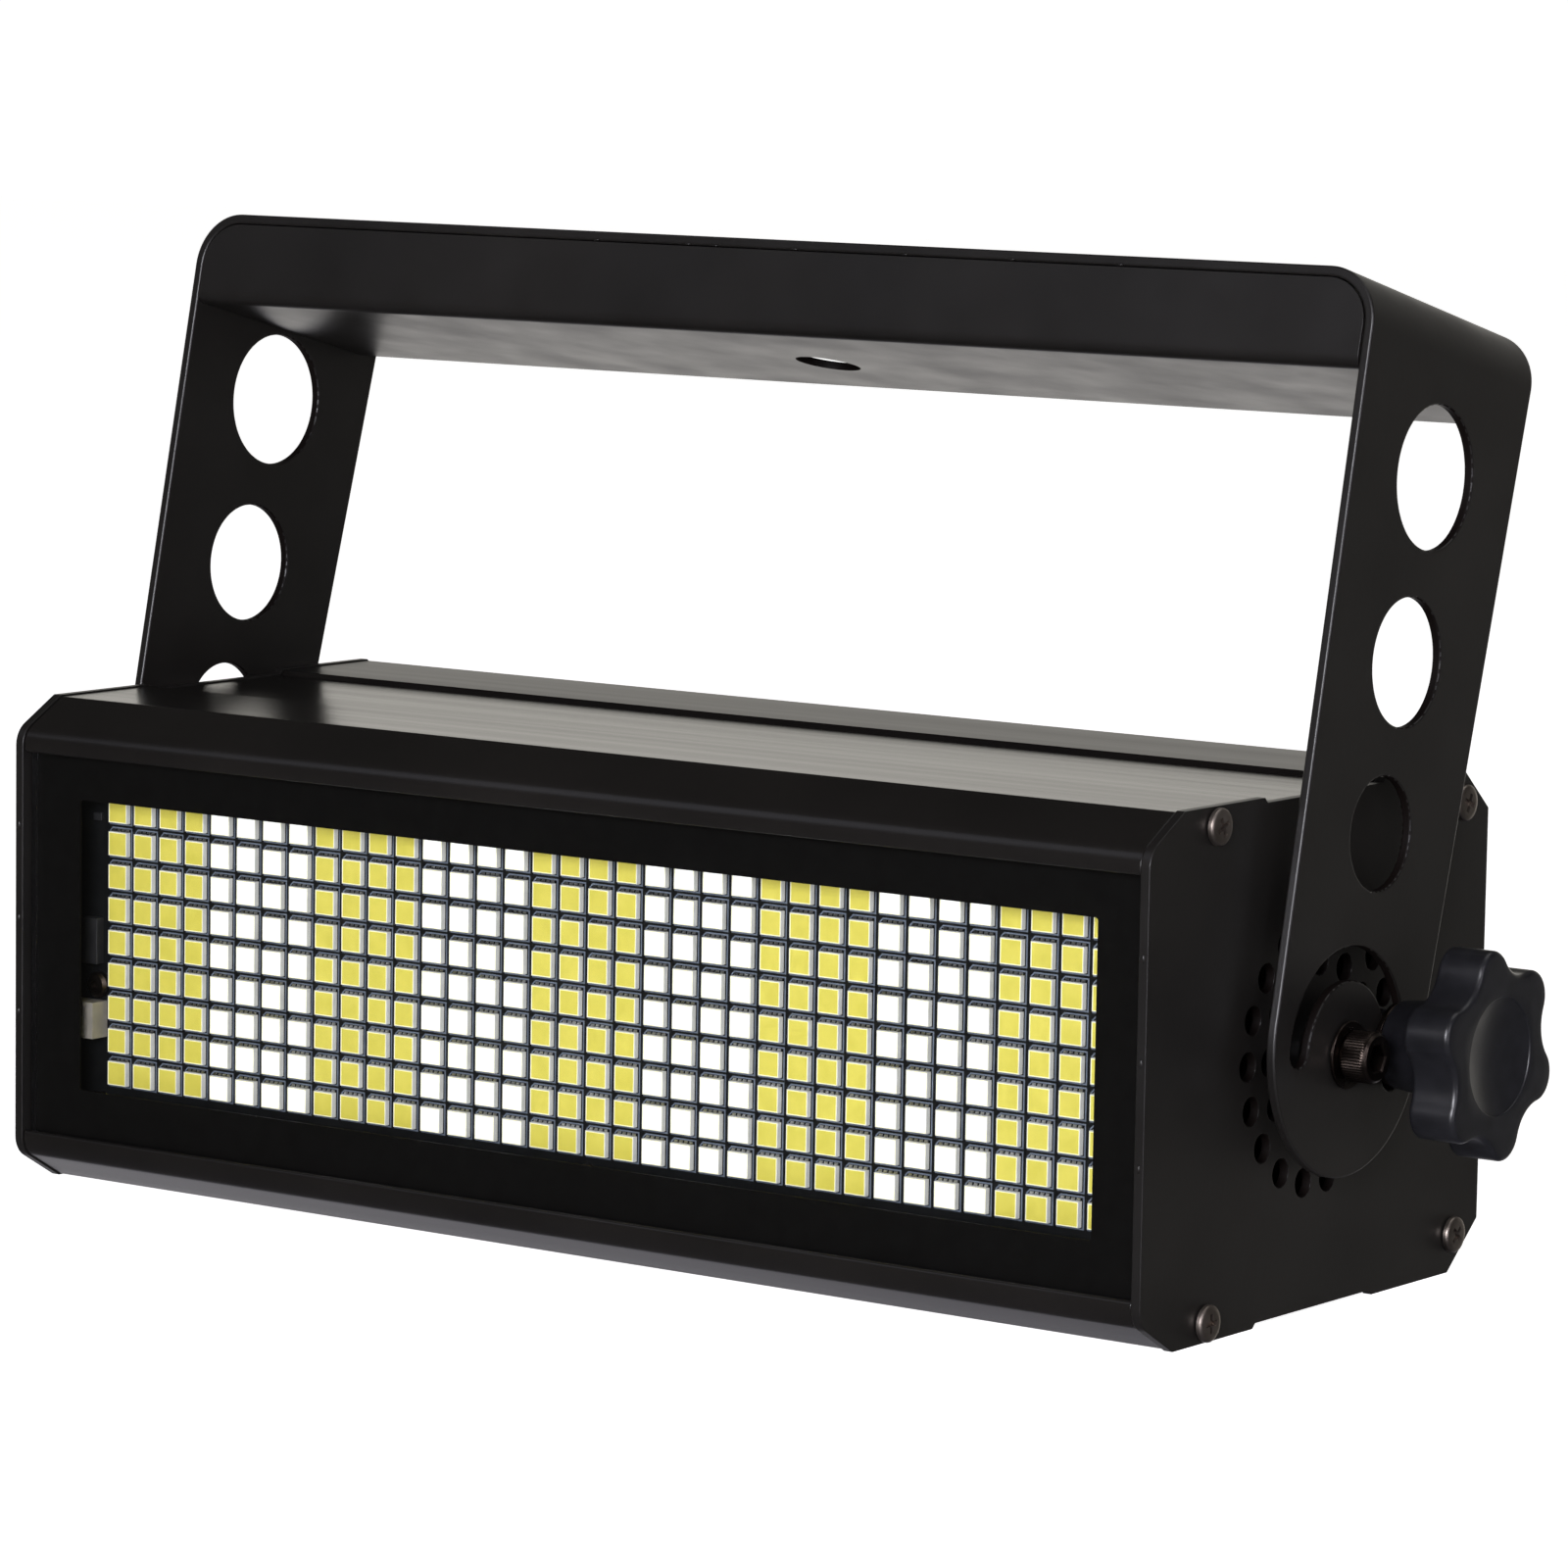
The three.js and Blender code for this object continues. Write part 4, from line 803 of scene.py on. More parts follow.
@dataclass
class Housing(Maker):
    """Two extruded halves, two end plates, the window and its mask."""

    half_width: float = 140
    half_height: float = 50.75
    front: float = 60.75
    rear: float = 62.25
    plate: float = 2
    plate_edge: tuple[float, int] = (0.5, 3)
    overhang: float = 0.3
    gap: float = 0.2
    front_chamfer: Span = (11.6, 6.7)
    front_radius: float = 5.2
    front_steps: int = 16
    rear_chamfer: Span = (11.2, 9.6)
    band_step: float = 1
    band_front: float = 20.25
    band_rear: float = 21.25
    wall: float = 1.9
    lip: float = 11.1
    lip_steps: int = 8
    rebate_height: float = 37.4
    rebate: float = 2.2
    flange: float = 29.5
    extrusion_edge: tuple[float, int] = (0.18, 2)
    vent_radius: float = 2.85
    vent_rings: tuple[tuple[float, int, int], ...] = ((25.3, 18, 0), (17.5, 12, 1))
    vent_sides: int = 28
    screws: tuple[Span, ...] = ((-38.2, 46.9), (-38.2, -46.9), (52.05, 43.1), (52.05, -43.1))
    screw_hole: tuple[float, int] = (1.9, 24)
    pivot_hole: tuple[float, int] = (3.3, 32)
    stud_orbit: float = 17.5
    pane: Triple = (275.6, 1.8, 81.6)
    pane_front: float = -58.35
    pane_edge: tuple[float, int] = (0.2, 1)
    nub: Span = (0.35, 1.1)
    nub_rises: tuple[float, ...] = (24.5, 5.0, -14.7)
    nub_sunk: float = 0.2
    nub_smooth: float = 60

    def upper_path(self, start: float, end: float) -> np.ndarray:
        """Outline of the upper half from the front to the rear, at the plates' edge.

        Args:
            start: Height where it starts at the front.
            end: Height where it ends at the rear.

        Returns:
            Points (y, z).
        """
        top, step = self.half_height, self.band_step
        depth, drop = self.front_chamfer
        foot, corner = (-self.front, start), (-self.front, top - drop)
        crest = (-self.front + depth, top)
        rear_depth, rear_drop = self.rear_chamfer
        return np.vstack([
            [foot],
            fillet(foot, corner, crest, self.front_radius, self.front_steps),
            [crest],
            [(-self.band_front - step, top), (-self.band_front, top - step)],
            [(self.band_rear, top - step), (self.band_rear + step, top)],
            [(self.rear - rear_depth, top), (self.rear, top - rear_drop)],
            [(self.rear, end)],
        ])

    def profiles(self) -> None:
        """Extruded halves: the skin's section, with a rounded lip, carried along X."""
        inner_x = self.half_width - self.plate - self.gap
        inside = self.rear - self.rebate
        path = np.vstack([
            self.upper_path(self.half_height - self.lip + self.wall / 2, self.rebate_height),
            [(inside, self.rebate_height), (inside, self.flange)],
        ])
        outer, inner = (offset_path(path, self.overhang + depth) for depth in (0, self.wall))
        lip = arc((outer[0] + inner[0]) / 2, self.wall / 2, 0, -math.pi, self.lip_steps)[1:-1]
        shape = prism_x(np.vstack([outer, inner[::-1], lip])[::-1], -inner_x, inner_x)
        level = self.half_height - self.overhang - self.gap
        shape = shape.marked(
            np.all(shape.points[face, 1] > self.band_rear) and np.all(shape.points[face, 2] > level)
            for face in shape.faces)
        coats = [self.finishes.extrusion, self.finishes.band]
        for half, sign in (("upper", 1), ("lower", -1)):
            self.shop.piece(
                f"{half}_extrusion", shape.scaled(1, 1, sign), coats, Body.HOUSING, "black_extrusion",
                f"{half}_profile", bevel=self.extrusion_edge)

    def plate_cutters(self) -> Shape:
        """Rods through the right end plate for its vents, screws, pivot and stud.

        Returns:
            All rods as one surface.
        """
        reach = (self.half_width - 2 * self.plate, self.half_width + self.plate)
        angles = [
            (orbit, TURN * place / count)
            for orbit, count, first in self.vent_rings for place in range(first, count)]
        rods = [
            rod(self.vent_radius, *reach, self.vent_sides)
            .moved(0, orbit * math.cos(angle), orbit * math.sin(angle)) for orbit, angle in angles]
        holes = [(place, self.screw_hole) for place in self.screws]
        holes += [((0, 0), self.pivot_hole), ((self.stud_orbit, 0), self.pivot_hole)]
        rods += [rod(radius, *reach, sides).moved(0, y, z) for (y, z), (radius, sides) in holes]
        return Shape.joined(rods)

    def end_plates(self) -> None:
        """Laser-cut end plates with soft edges, vents and the small nubs where they left the sheet."""
        upper = self.upper_path(0, 0)[1:-1]
        outline = np.vstack([upper, (upper * np.array([1, -1]))[::-1]])[::-1]
        spindle = nub(*self.nub).turned(Matrix.Rotation(math.pi / 2, 3, "Y"))
        middle, front = self.half_width - self.plate / 2, -self.front + self.nub[0] * self.nub_sunk
        for side in Side:
            blank = prism_x(outline, self.half_width - self.plate, self.half_width).on(side)
            plate = self.shop.mesh(f"end_plate_{side.label}_sheet", blank, self.painted)
            # The walls of the cuts take the darker coat, a painted shade inside the holes.
            self.shop.combine(plate, self.plate_cutters().on(side), "DIFFERENCE", 1)
            self.shop.bevel(plate, *self.plate_edge)
            tabs = Shape.joined(spindle.moved(side.value * middle, front, rise) for rise in self.nub_rises)
            self.shop.piece(
                f"sheet_nubs_{side.label}", tabs, [self.finishes.sheet], Body.HOUSING, "black_sheet",
                smooth=self.nub_smooth)
            self.shop.seat(plate, Body.HOUSING, "black_sheet", f"end_plate_{side.label}")

    def window(self, frame: dict) -> None:
        """Makes the pane with ground edges and gives the mask its print.

        Args:
            frame: The loaded frame.
        """
        width, depth, height = self.pane
        rear = self.pane_front + depth
        shape = block((-width / 2, self.pane_front, -height / 2), (width / 2, rear, height / 2))
        shape = shape.marked(np.all(shape.points[face, 1] == rear) for face in shape.faces)
        self.shop.piece(
            "window_pane", shape, [self.finishes.glass, self.finishes.glass_back], Body.HOUSING,
            "window_glass", "front_glass", bevel=self.pane_edge)
        dress(frame, "window_mask", self.finishes.card)


@dataclass
class DiodeField(Maker):
    """The black board with 36 by 9 diode packages, its legend print, pads and small parts."""

    columns: int = 36
    rows: int = 9
    pitch: Span = (7.0, 6.9)
    package: Span = (5.0, 5.0)
    phosphor: Span = (4.72, 4.8)
    cream: float = 0.3
    edge: float = 0.08
    recess: float = 0.06
    group: int = 4
    top: float = -48.75
    height: float = 1.2
    thickness: float = 1.6
    size: Span = (271, 80)
    outline: Span = (6.2, 6.45)
    outline_rise: float = 0.22
    corner: float = 0.8
    line: float = 0.3
    print_height: float = 0.03
    pad: Triple = (0.8, 0.55, 0.4)
    pad_pitch: float = 1.2
    pads: int = 4
    chips: tuple[tuple[float, ...], ...] = ((-129.4, 25.2, 26.8, 0.9), (-131.3, -4.9, 4.8, 2.2))
    chips_end: float = -127.2
    chips_edge: tuple[float, int] = (0.12, 2)
    screws: tuple[Span, ...] = ((-128.2, -9.4), (-127.6, -34.6), (1.0, -34.6))
    screw: tuple[Span, ...] = ((0, 0), (2.7, 0), (2.7, 1.0), (2.1, 1.6), (1.1, 1.75), (0.9, 0.9), (0, 0.9))
    screw_sides: int = 24
    screw_smooth: float = 35

    class Slot(Enum):
        """Material numbers of the board's faces."""

        BOARD = 0
        PACKAGE = 1
        YELLOW = 2
        WHITE = 3
        LEGEND = 4
        SOLDER = 5
        CREAM = 6

    @property
    def face(self) -> float:
        """Place of the board's face along Y."""
        return self.top + self.height

    def centres(self) -> np.ndarray:
        """Works out where the packages stand.

        Returns:
            Places (x, z), row by row.
        """
        counts = zip((self.columns, self.rows), self.pitch)
        x, z = ((np.arange(count) - (count - 1) / 2) * pitch for count, pitch in counts)
        return np.stack(np.meshgrid(x, z), axis=-1).reshape(-1, 2)

    def one_package(self, centre: np.ndarray) -> Shape:
        """A package: rings that step from its foot over a soft edge into the sunk phosphor.

        Args:
            centre: Its place (x, z).

        Returns:
            The package, its last face the phosphor in the colour of its column.
        """
        body, glow, floor = np.array(self.package), np.array(self.phosphor), self.top + self.recess
        sizes = [
            (body, self.face), (body, self.top + self.edge), (body - 2 * self.edge, self.top),
            (glow, self.top), (glow - self.recess, floor), (glow - self.cream, floor)]
        rings = np.stack([np.insert(rectangle(*size), 1, y, axis=1) for size, y in sizes])
        shape = Shape.of_grid(rings, slot=self.Slot.PACKAGE.value)
        shape.slots[-4:] = self.Slot.CREAM.value
        column = round(centre[0] / self.pitch[0] + (self.columns - 1) / 2)
        colour = self.Slot.WHITE if (column // self.group) % 2 else self.Slot.YELLOW
        count = len(rings) * 4
        faces = shape.faces + [list(range(count - 4, count))]
        return Shape(shape.points, faces, np.append(shape.slots, colour.value)).moved(centre[0], 0, centre[1])

    def legend(self, centre: np.ndarray) -> Shape:
        """The printed frame round a package, a band between two five-sided outlines.

        Args:
            centre: The package's place (x, z).

        Returns:
            The frame, one of its corners cut to mark the package's first lead.
        """
        loops = []
        for inset in (0, self.line):
            a, b = (length / 2 - inset for length in self.outline)
            cut = self.corner - inset * (2 - math.sqrt(2))
            corners = np.array([(-a, -b), (a, -b), (a, b), (cut - a, b), (-a, b - cut)])
            loops.append(corners + np.array([centre[0], centre[1] + self.outline_rise]))
        depths = [(loops[0], 1), (loops[0], -1), (loops[1], -1), (loops[1], 1)]
        grid = np.stack([
            np.insert(loop, 1, self.face + side * self.print_height, axis=1) for loop, side in depths])
        return Shape.of_grid(grid, wrap_rows=True, slot=self.Slot.LEGEND.value)

    def solder(self, centre: np.ndarray) -> list[Shape]:
        """Solder fillets above and below a package: wedges that rise towards it.

        Args:
            centre: The package's place (x, z).

        Returns:
            The wedges.
        """
        x, z = centre
        width, length, rise = self.pad
        half = self.package[1] / 2
        wedges = []
        for side, reach in ((1, length), (-1, length / 2)):
            foot, tip = z + side * (half - self.edge), z + side * (half + reach)
            wedge = np.array([(self.face, foot), (self.face, tip), (self.face - rise * reach / length, foot)])
            for place in range(self.pads):
                at = x + (place - (self.pads - 1) / 2) * self.pad_pitch
                wedges.append(prism_x(wedge, at - width / 2, at + width / 2, self.Slot.SOLDER.value))
        return wedges

    def build(self, frame: dict) -> None:
        """Makes the board and gives the header and the heat sink their finish.

        Args:
            frame: The loaded frame.
        """
        half = (self.size[0] / 2, self.size[1] / 2)
        parts = [block((-half[0], self.face, -half[1]), (half[0], self.face + self.thickness, half[1]))]
        for centre in self.centres():
            parts += [self.one_package(centre), self.legend(centre), *self.solder(centre)]
        materials = [getattr(self.finishes, slot.name.lower()) for slot in self.Slot]
        self.shop.piece("diode_field", Shape.joined(parts), materials, Body.HOUSING, "diodes", "diode_board")
        self.small_parts()
        dress(frame, "board_header", self.finishes.header)
        dress(frame, "heat_sink", self.finishes.aluminium)

    def small_parts(self) -> None:
        """A chip, a dark component and the screws that show beside the field."""
        chips = [
            block((start, self.face - rise, low), (self.chips_end, self.face, high))
            for start, low, high, rise in self.chips]
        self.shop.piece(
            "board_chips", Shape.joined(chips), [self.finishes.plastic], Body.HOUSING, "diodes",
            bevel=self.chips_edge)
        head = along_y(revolved(self.screw, self.screw_sides)).scaled(1, -1, 1)
        heads = Shape.joined(head.moved(x, self.face, z) for x, z in self.screws)
        self.shop.piece(
            "board_screws", heads, [self.finishes.oxide], Body.HOUSING, "bronze_steel",
            smooth=self.screw_smooth)


@dataclass
class Yoke(Maker):
    """The folded strip with its tapered arms, and the channel inside its top."""

    lean: float = math.radians(14)
    sheet: float = 2
    sheet_edge: tuple[float, int] = (0.5, 3)
    half_span: float = 146.4
    rise: float = 146.3
    half_width: float = 31.75
    end_radius: float = 27
    end_rise: float = 3.3
    end_steps: int = 72
    bend: float = 11
    bend_steps: int = 20
    holes: tuple[Span, ...] = ((112, 14), (76, 12.5), (42.7, 11))
    hole_sides: int = 96
    orbit: float = 17.5
    slot_width: float = 6.5
    slot_overrun: float = math.radians(5)
    cap_steps: int = 12
    pivot_hole: tuple[float, int] = (3.3, 40)
    clamp_hole: float = 6.25
    access_hole: float = 6.75
    channel_sheet: float = 1.6
    channel_edge: tuple[float, int] = (0.2, 2)
    channel_drop: float = 19.2
    channel_setback: float = 0.3
    channel_depth: float = 57
    channel_bend: tuple[float, int] = (2.6, 10)
    gap: float = 0.2
    overrun: float = 1
    nub: Span = (0.3, 0.9)
    nub_places: tuple[float, ...] = (-39.9, -16.6, -9.7, 10.1, 37.1, 62.7, 87.9)
    nub_sunk: float = 0.1
    nub_rise: float = 0.15
    nub_foot: float = -1.5
    nub_smooth: float = 60

    def fold(self, half_span: float, rise: float, foot: float, bend: float) -> np.ndarray:
        """Path up one arm, across the top and down the other, with round corners.

        Args:
            half_span: Half the distance over the arms.
            rise: Height of the top.
            foot: Height where it starts and ends.
            bend: Radius of the corners.

        Returns:
            Points (x, z), from the left foot to the right foot.
        """
        corners = [(-half_span, foot), (-half_span, rise), (half_span, rise), (half_span, foot)]
        return np.vstack([
            corners[:1], fillet(*corners[:3], bend, self.bend_steps),
            fillet(*corners[1:], bend, self.bend_steps), corners[3:]])

    def finished(self, piece: bpy.types.Object, *nodes: str) -> None:
        """Leans a piece made upright back about the tilt axis, in its mesh, and seats it.

        Args:
            piece: The piece.
            *nodes: The CAD nodes it stands for.
        """
        axis = Matrix.Translation(self.shop.pivot)
        piece.data.transform(axis @ Matrix.Rotation(-self.lean, 4, "X") @ axis.inverted())
        self.shop.seat(piece, Body.YOKE, "black_sheet", *nodes)

    def arm_outline(self) -> np.ndarray:
        """Arm outline (y, z): a round foot just above the tilt axis and tangents that widen to the top.

        Returns:
            Its points; the tangents' slant is the arcsine of the foot's radius over the distance from
            its centre to a top corner, less that corner's own angle.
        """
        top = self.rise + self.overrun
        taper = top - self.end_rise
        slant = math.asin(self.end_radius / math.hypot(self.half_width, taper))
        tangent = slant - math.atan2(self.half_width, taper)
        foot = arc((0, self.end_rise), self.end_radius, math.pi + tangent, TURN - tangent, self.end_steps)
        return np.vstack([foot, [(self.half_width, top), (-self.half_width, top)]])

    def slot_outline(self) -> np.ndarray:
        """Curved slot (y, z).

        Returns:
            Its points: two arcs about the tilt axis joined by half circles.
        """
        start, end, half = -self.slot_overrun, math.pi + self.slot_overrun, self.slot_width / 2
        outer = arc((0, 0), self.orbit + half, start, end, self.end_steps)
        inner = arc((0, 0), self.orbit - half, end, start, self.end_steps)
        far, near = (self.orbit * np.array([math.cos(angle), math.sin(angle)]) for angle in (end, start))
        far_cap = arc(far, half, end, end + math.pi, self.cap_steps)[1:-1]
        near_cap = arc(near, half, start + math.pi, start + TURN, self.cap_steps)[1:-1]
        return np.vstack([outer, far_cap, inner, near_cap])

    def frame(self) -> None:
        """The strip: its fold carried across, kept inside the arms' outline and pierced."""
        foot = self.end_rise - self.end_radius - self.overrun
        outer, inner = (
            self.fold(self.half_span - depth, self.rise - depth, foot, self.bend - depth)
            for depth in (0, self.sheet))
        reach, out = self.half_width + self.overrun, self.half_span + self.overrun
        strip = prism_y(np.vstack([outer, inner[::-1]]), -reach, reach)
        piece = self.shop.mesh("yoke_strip", strip, self.painted)
        self.shop.combine(piece, prism_x(self.arm_outline(), -out, out), "INTERSECT")
        cutters = [rod(radius, -out, out, self.hole_sides).moved(0, 0, rise) for rise, radius in self.holes]
        radius, sides = self.pivot_hole
        cutters += [rod(radius, -out, out, sides), prism_x(self.slot_outline(), -out, out)]
        low, high = self.rise - 2 * self.sheet, self.rise + self.overrun
        cutters.append(rod(self.clamp_hole, low, high, ROUND).turned(UPRIGHT))
        # The walls of the cuts take the darker coat, a painted shade inside the holes.
        self.shop.combine(piece, Shape.joined(cutters), "DIFFERENCE", 1)
        self.shop.bevel(piece, *self.sheet_edge)
        self.finished(piece, "yoke_frame")

    def nubs(self) -> None:
        """Small nubs where the strip left its sheet: along its lower front edge and at the feet."""
        front, edge = -self.half_width + self.nub_sunk, self.rise - self.sheet + self.nub_rise
        foot = self.end_rise - self.end_radius + self.nub_rise
        middle = self.half_span - self.sheet / 2
        places = [(x, front, edge) for x in self.nub_places]
        places += [(side.value * middle, self.nub_foot, foot) for side in Side]
        spindle = nub(*self.nub)
        piece = self.shop.mesh(
            "yoke_nubs", Shape.joined(spindle.moved(*place) for place in places), self.painted)
        self.shop.smooth(piece, self.nub_smooth)
        self.finished(piece)

    def channel(self) -> None:
        """The channel: its C section carried along X and kept inside the fold."""
        sheet, over = self.channel_sheet, self.overrun
        top, foot = self.rise - self.sheet - self.gap, self.rise - self.channel_drop
        front = -self.half_width + self.channel_setback
        rear = front + self.channel_depth
        path = np.vstack([
            [(rear, top), (front, top)],
            fillet((front, top), (front, foot), (rear, foot), *self.channel_bend),
            [(rear, foot)],
        ])[::-1]
        section = np.vstack([path, offset_path(path, sheet)[::-1]])[::-1]
        reach = self.half_span - self.sheet - self.gap
        piece = self.shop.mesh("yoke_channel_sheet", prism_x(section, -reach, reach), self.painted)
        inside = self.fold(reach, top, foot - over, self.bend - self.sheet - self.gap)
        self.shop.combine(piece, prism_y(inside, front - over, rear + over), "INTERSECT")
        rods = [
            rod(self.clamp_hole, top - 2 * sheet, top + over, ROUND),
            rod(self.access_hole, foot - over, foot + 2 * sheet, self.hole_sides)]
        # The walls of the cuts take the darker coat, a painted shade inside the holes.
        self.shop.combine(piece, Shape.joined(rods).turned(UPRIGHT), "DIFFERENCE", 1)
        self.shop.bevel(piece, *self.channel_edge)
        self.finished(piece, "yoke_channel")


@dataclass
class Clamp(Maker):
    """A side's star knob and its washer."""

    orbit: float = 17.5
    washer: tuple[float, ...] = (3.3, 8.2, 146.6, 1.2, 0.2)
    foot: float = 148.0
    hub_height: float = 11.9
    head_height: float = 10
    radius: float = 20.9
    lobes: int = 6
    lobe_radius: float = 5.2
    valley_orbit: float = 26
    turn: float = math.radians(40)
    edge: float = 1.1
    edge_steps: int = 8
    dimple: Span = (11.2, 1.6)
    dimple_steps: int = 12
    dimple_wall: Span = (0.45, 0.35)
    rim_share: float = 0.7
    rim_steps: int = 5
    face_shares: Triple = (0.35, 0.7, 1.0)
    hub_head: float = 9.8
    hub_foot: float = 8.6
    hub_edges: Span = (0.6, 0.4)
    sides: int = 240
    smooth: Span = (40, 35)

    def star(self) -> np.ndarray:
        """Radius of the head for each angle: the larger of the lobes' circles, and where those leave
        off the hollow circles between them, which touch the lobes.

        Returns:
            Radii at evenly spaced angles from the first lobe's middle.
        """
        lobe_orbit = self.radius - self.lobe_radius
        pitch = TURN / self.lobes
        angle = np.arange(self.sides) * TURN / self.sides
        local = np.abs(np.mod(angle + pitch / 2, pitch) - pitch / 2)
        ahead = self.valley_orbit * math.cos(pitch / 2) - lobe_orbit
        across = self.valley_orbit * math.sin(pitch / 2)
        valley_radius = math.hypot(ahead, across) - self.lobe_radius
        toward = math.atan2(across, ahead)
        touch = math.atan2(
            self.lobe_radius * math.sin(toward), lobe_orbit + self.lobe_radius * math.cos(toward))
        on_lobe = lobe_orbit * np.cos(local) + np.sqrt(
            np.maximum(self.lobe_radius ** 2 - (lobe_orbit * np.sin(local)) ** 2, 0))
        aside = self.valley_orbit * np.sin(pitch / 2 - local)
        on_valley = self.valley_orbit * np.cos(pitch / 2 - local) - np.sqrt(
            np.maximum(valley_radius ** 2 - aside ** 2, 0))
        return np.where(local < touch, on_lobe, on_valley)

    def head_rows(self) -> np.ndarray:
        """Rows (radius, x) of the knob, one radius for each angle, from the dimple's middle over the
        face, round the star's edge and down the hub to the middle of its foot. The dimple's floor
        rises as the square of the distance from its middle.

        Returns:
            Array of shape (rows, sides, 2).
        """
        star, edge = self.star(), self.edge
        back = self.foot + self.hub_height
        top = back + self.head_height
        reach, depth = self.dimple
        wall, wall_depth = self.dimple_wall
        head_edge, foot_edge = self.hub_edges
        shares = np.linspace(0, 1, self.dimple_steps)
        rows: list[tuple[np.ndarray | float, float]] = [
            (reach * share, top - depth * (1 - share ** 2) - wall_depth) for share in shares]
        rim = wall * self.rim_share
        rows += [
            (reach + wall - rim * math.cos(a), top - rim * (1 - math.sin(a)))
            for a in np.linspace(0, math.pi / 2, self.rim_steps)]
        rows += [((reach + wall) * (1 - share) + (star - edge) * share, top) for share in self.face_shares]
        bow = np.linspace(0, math.pi / 2, self.edge_steps)
        rows += [(star - edge * (1 - math.sin(a)), top - edge * (1 - math.cos(a))) for a in bow[1:]]
        rows += [(star - edge * (1 - math.cos(a)), back + edge * (1 - math.sin(a))) for a in bow[:-1]]
        rows += [
            (star - edge, back), (self.hub_head + head_edge, back), (self.hub_head, back - head_edge),
            (self.hub_foot, self.foot + foot_edge), (self.hub_foot - foot_edge, self.foot), (0, self.foot)]
        return np.stack([
            np.column_stack([np.broadcast_to(r, (self.sides,)), np.full(self.sides, x)]) for r, x in rows])

    def build(self, side: Side) -> None:
        """Makes one side's knob and washer.

        Args:
            side: Which side.
        """
        rows = self.head_rows()
        radius, along = rows[..., 0], rows[..., 1]
        angle = np.arange(self.sides) * TURN / self.sides + self.turn
        knob = Shape.of_grid(np.stack(
            [along, radius * np.cos(angle) + self.orbit, radius * np.sin(angle)], axis=-1))
        ring = washer(*self.washer).moved(0, self.orbit, 0)
        label = side.label
        self.shop.piece(
            f"star_knob_{label}", knob.on(side), [self.finishes.knob], f"knob_{label}", "black_plastic",
            f"clamp_knob_{label}", smooth=self.smooth[0])
        self.shop.piece(
            f"clamp_washer_{label}", ring.on(side), [self.finishes.oxide], f"washer_{label}", "zinc_steel",
            f"knob_washer_{label}", smooth=self.smooth[1])


@dataclass
class Pivot(Maker):
    """A side's socket-head bolt with its flange washer."""

    seat_x: float = 147.4
    head: Span = (5, 5.9)
    knurls: int = 54
    knurl_depth: float = 0.14
    knurl_ends: Span = (0.7, -1.1)
    per_knurl: int = 6
    foot_steps: tuple[Span, ...] = ((-0.5, 0), (-0.35, 0.35))
    crown_steps: tuple[Span, ...] = ((-0.2, -0.8), (-0.25, -0.45), (-0.7, 0))
    across_flats: float = 5
    socket: float = 3
    socket_edge: float = 0.35
    socket_foot: tuple[Span, ...] = ((1.0, -0.3), (0, -0.6))
    shank: Triple = (2.9, -14.6, 0.2)
    shank_sides: int = 32
    washer: tuple[float, ...] = (3.3, 6.6, 146.6, 0.6, 0.15)
    smooth: Span = (32, 35)

    def head_shape(self) -> Shape:
        """The head as rings along X: a knurled wall, whose radius dips by a cosine, a smooth crown,
        and a hexagon whose radius is the half width over the cosine of the angle from its flat.

        Returns:
            The head.
        """
        sides = self.knurls * self.per_knurl
        angle = TURN * np.arange(sides) / sides
        radius, height = self.head
        knurl = radius - self.knurl_depth * (0.5 - 0.5 * np.cos(self.knurls * angle))
        sixth = TURN / 6
        hexagon = self.across_flats / 2 / np.cos(np.mod(angle, sixth) - sixth / 2)
        base, top = self.seat_x, self.seat_x + height
        floor = top - self.socket
        rows = [(0, base), *((radius + out, base + up) for out, up in self.foot_steps)]
        rows += [(knurl, base + self.knurl_ends[0]), (knurl, top + self.knurl_ends[1])]
        rows += [(radius + out, top + up) for out, up in self.crown_steps]
        rows += [(hexagon + self.socket_edge, top), (hexagon, top - self.socket_edge), (hexagon, floor)]
        rows += [(out, floor + up) for out, up in self.socket_foot]
        return Shape.of_grid(np.stack([
            np.stack([np.full(sides, x), r * np.cos(angle), r * np.sin(angle)], axis=-1) for r, x in rows]))

    def build(self, side: Side) -> None:
        """Makes one side's bolt and washer.

        Args:
            side: Which side.
        """
        radius, start, end = self.shank
        shank = rod(radius, self.seat_x + start, self.seat_x + end, self.shank_sides)
        bolt = Shape.joined([self.head_shape(), shank])
        label = side.label
        for name, shape, node, angle in (
                ("socket_bolt", bolt, "pivot_bolt", self.smooth[0]),
                ("bolt_washer", washer(*self.washer), "pivot_washer", self.smooth[1])):
            self.shop.piece(
                f"{name}_{label}", shape.on(side), [self.finishes.oxide], Body.HOUSING, "nickel_steel",
                f"{node}_{label}", smooth=angle)


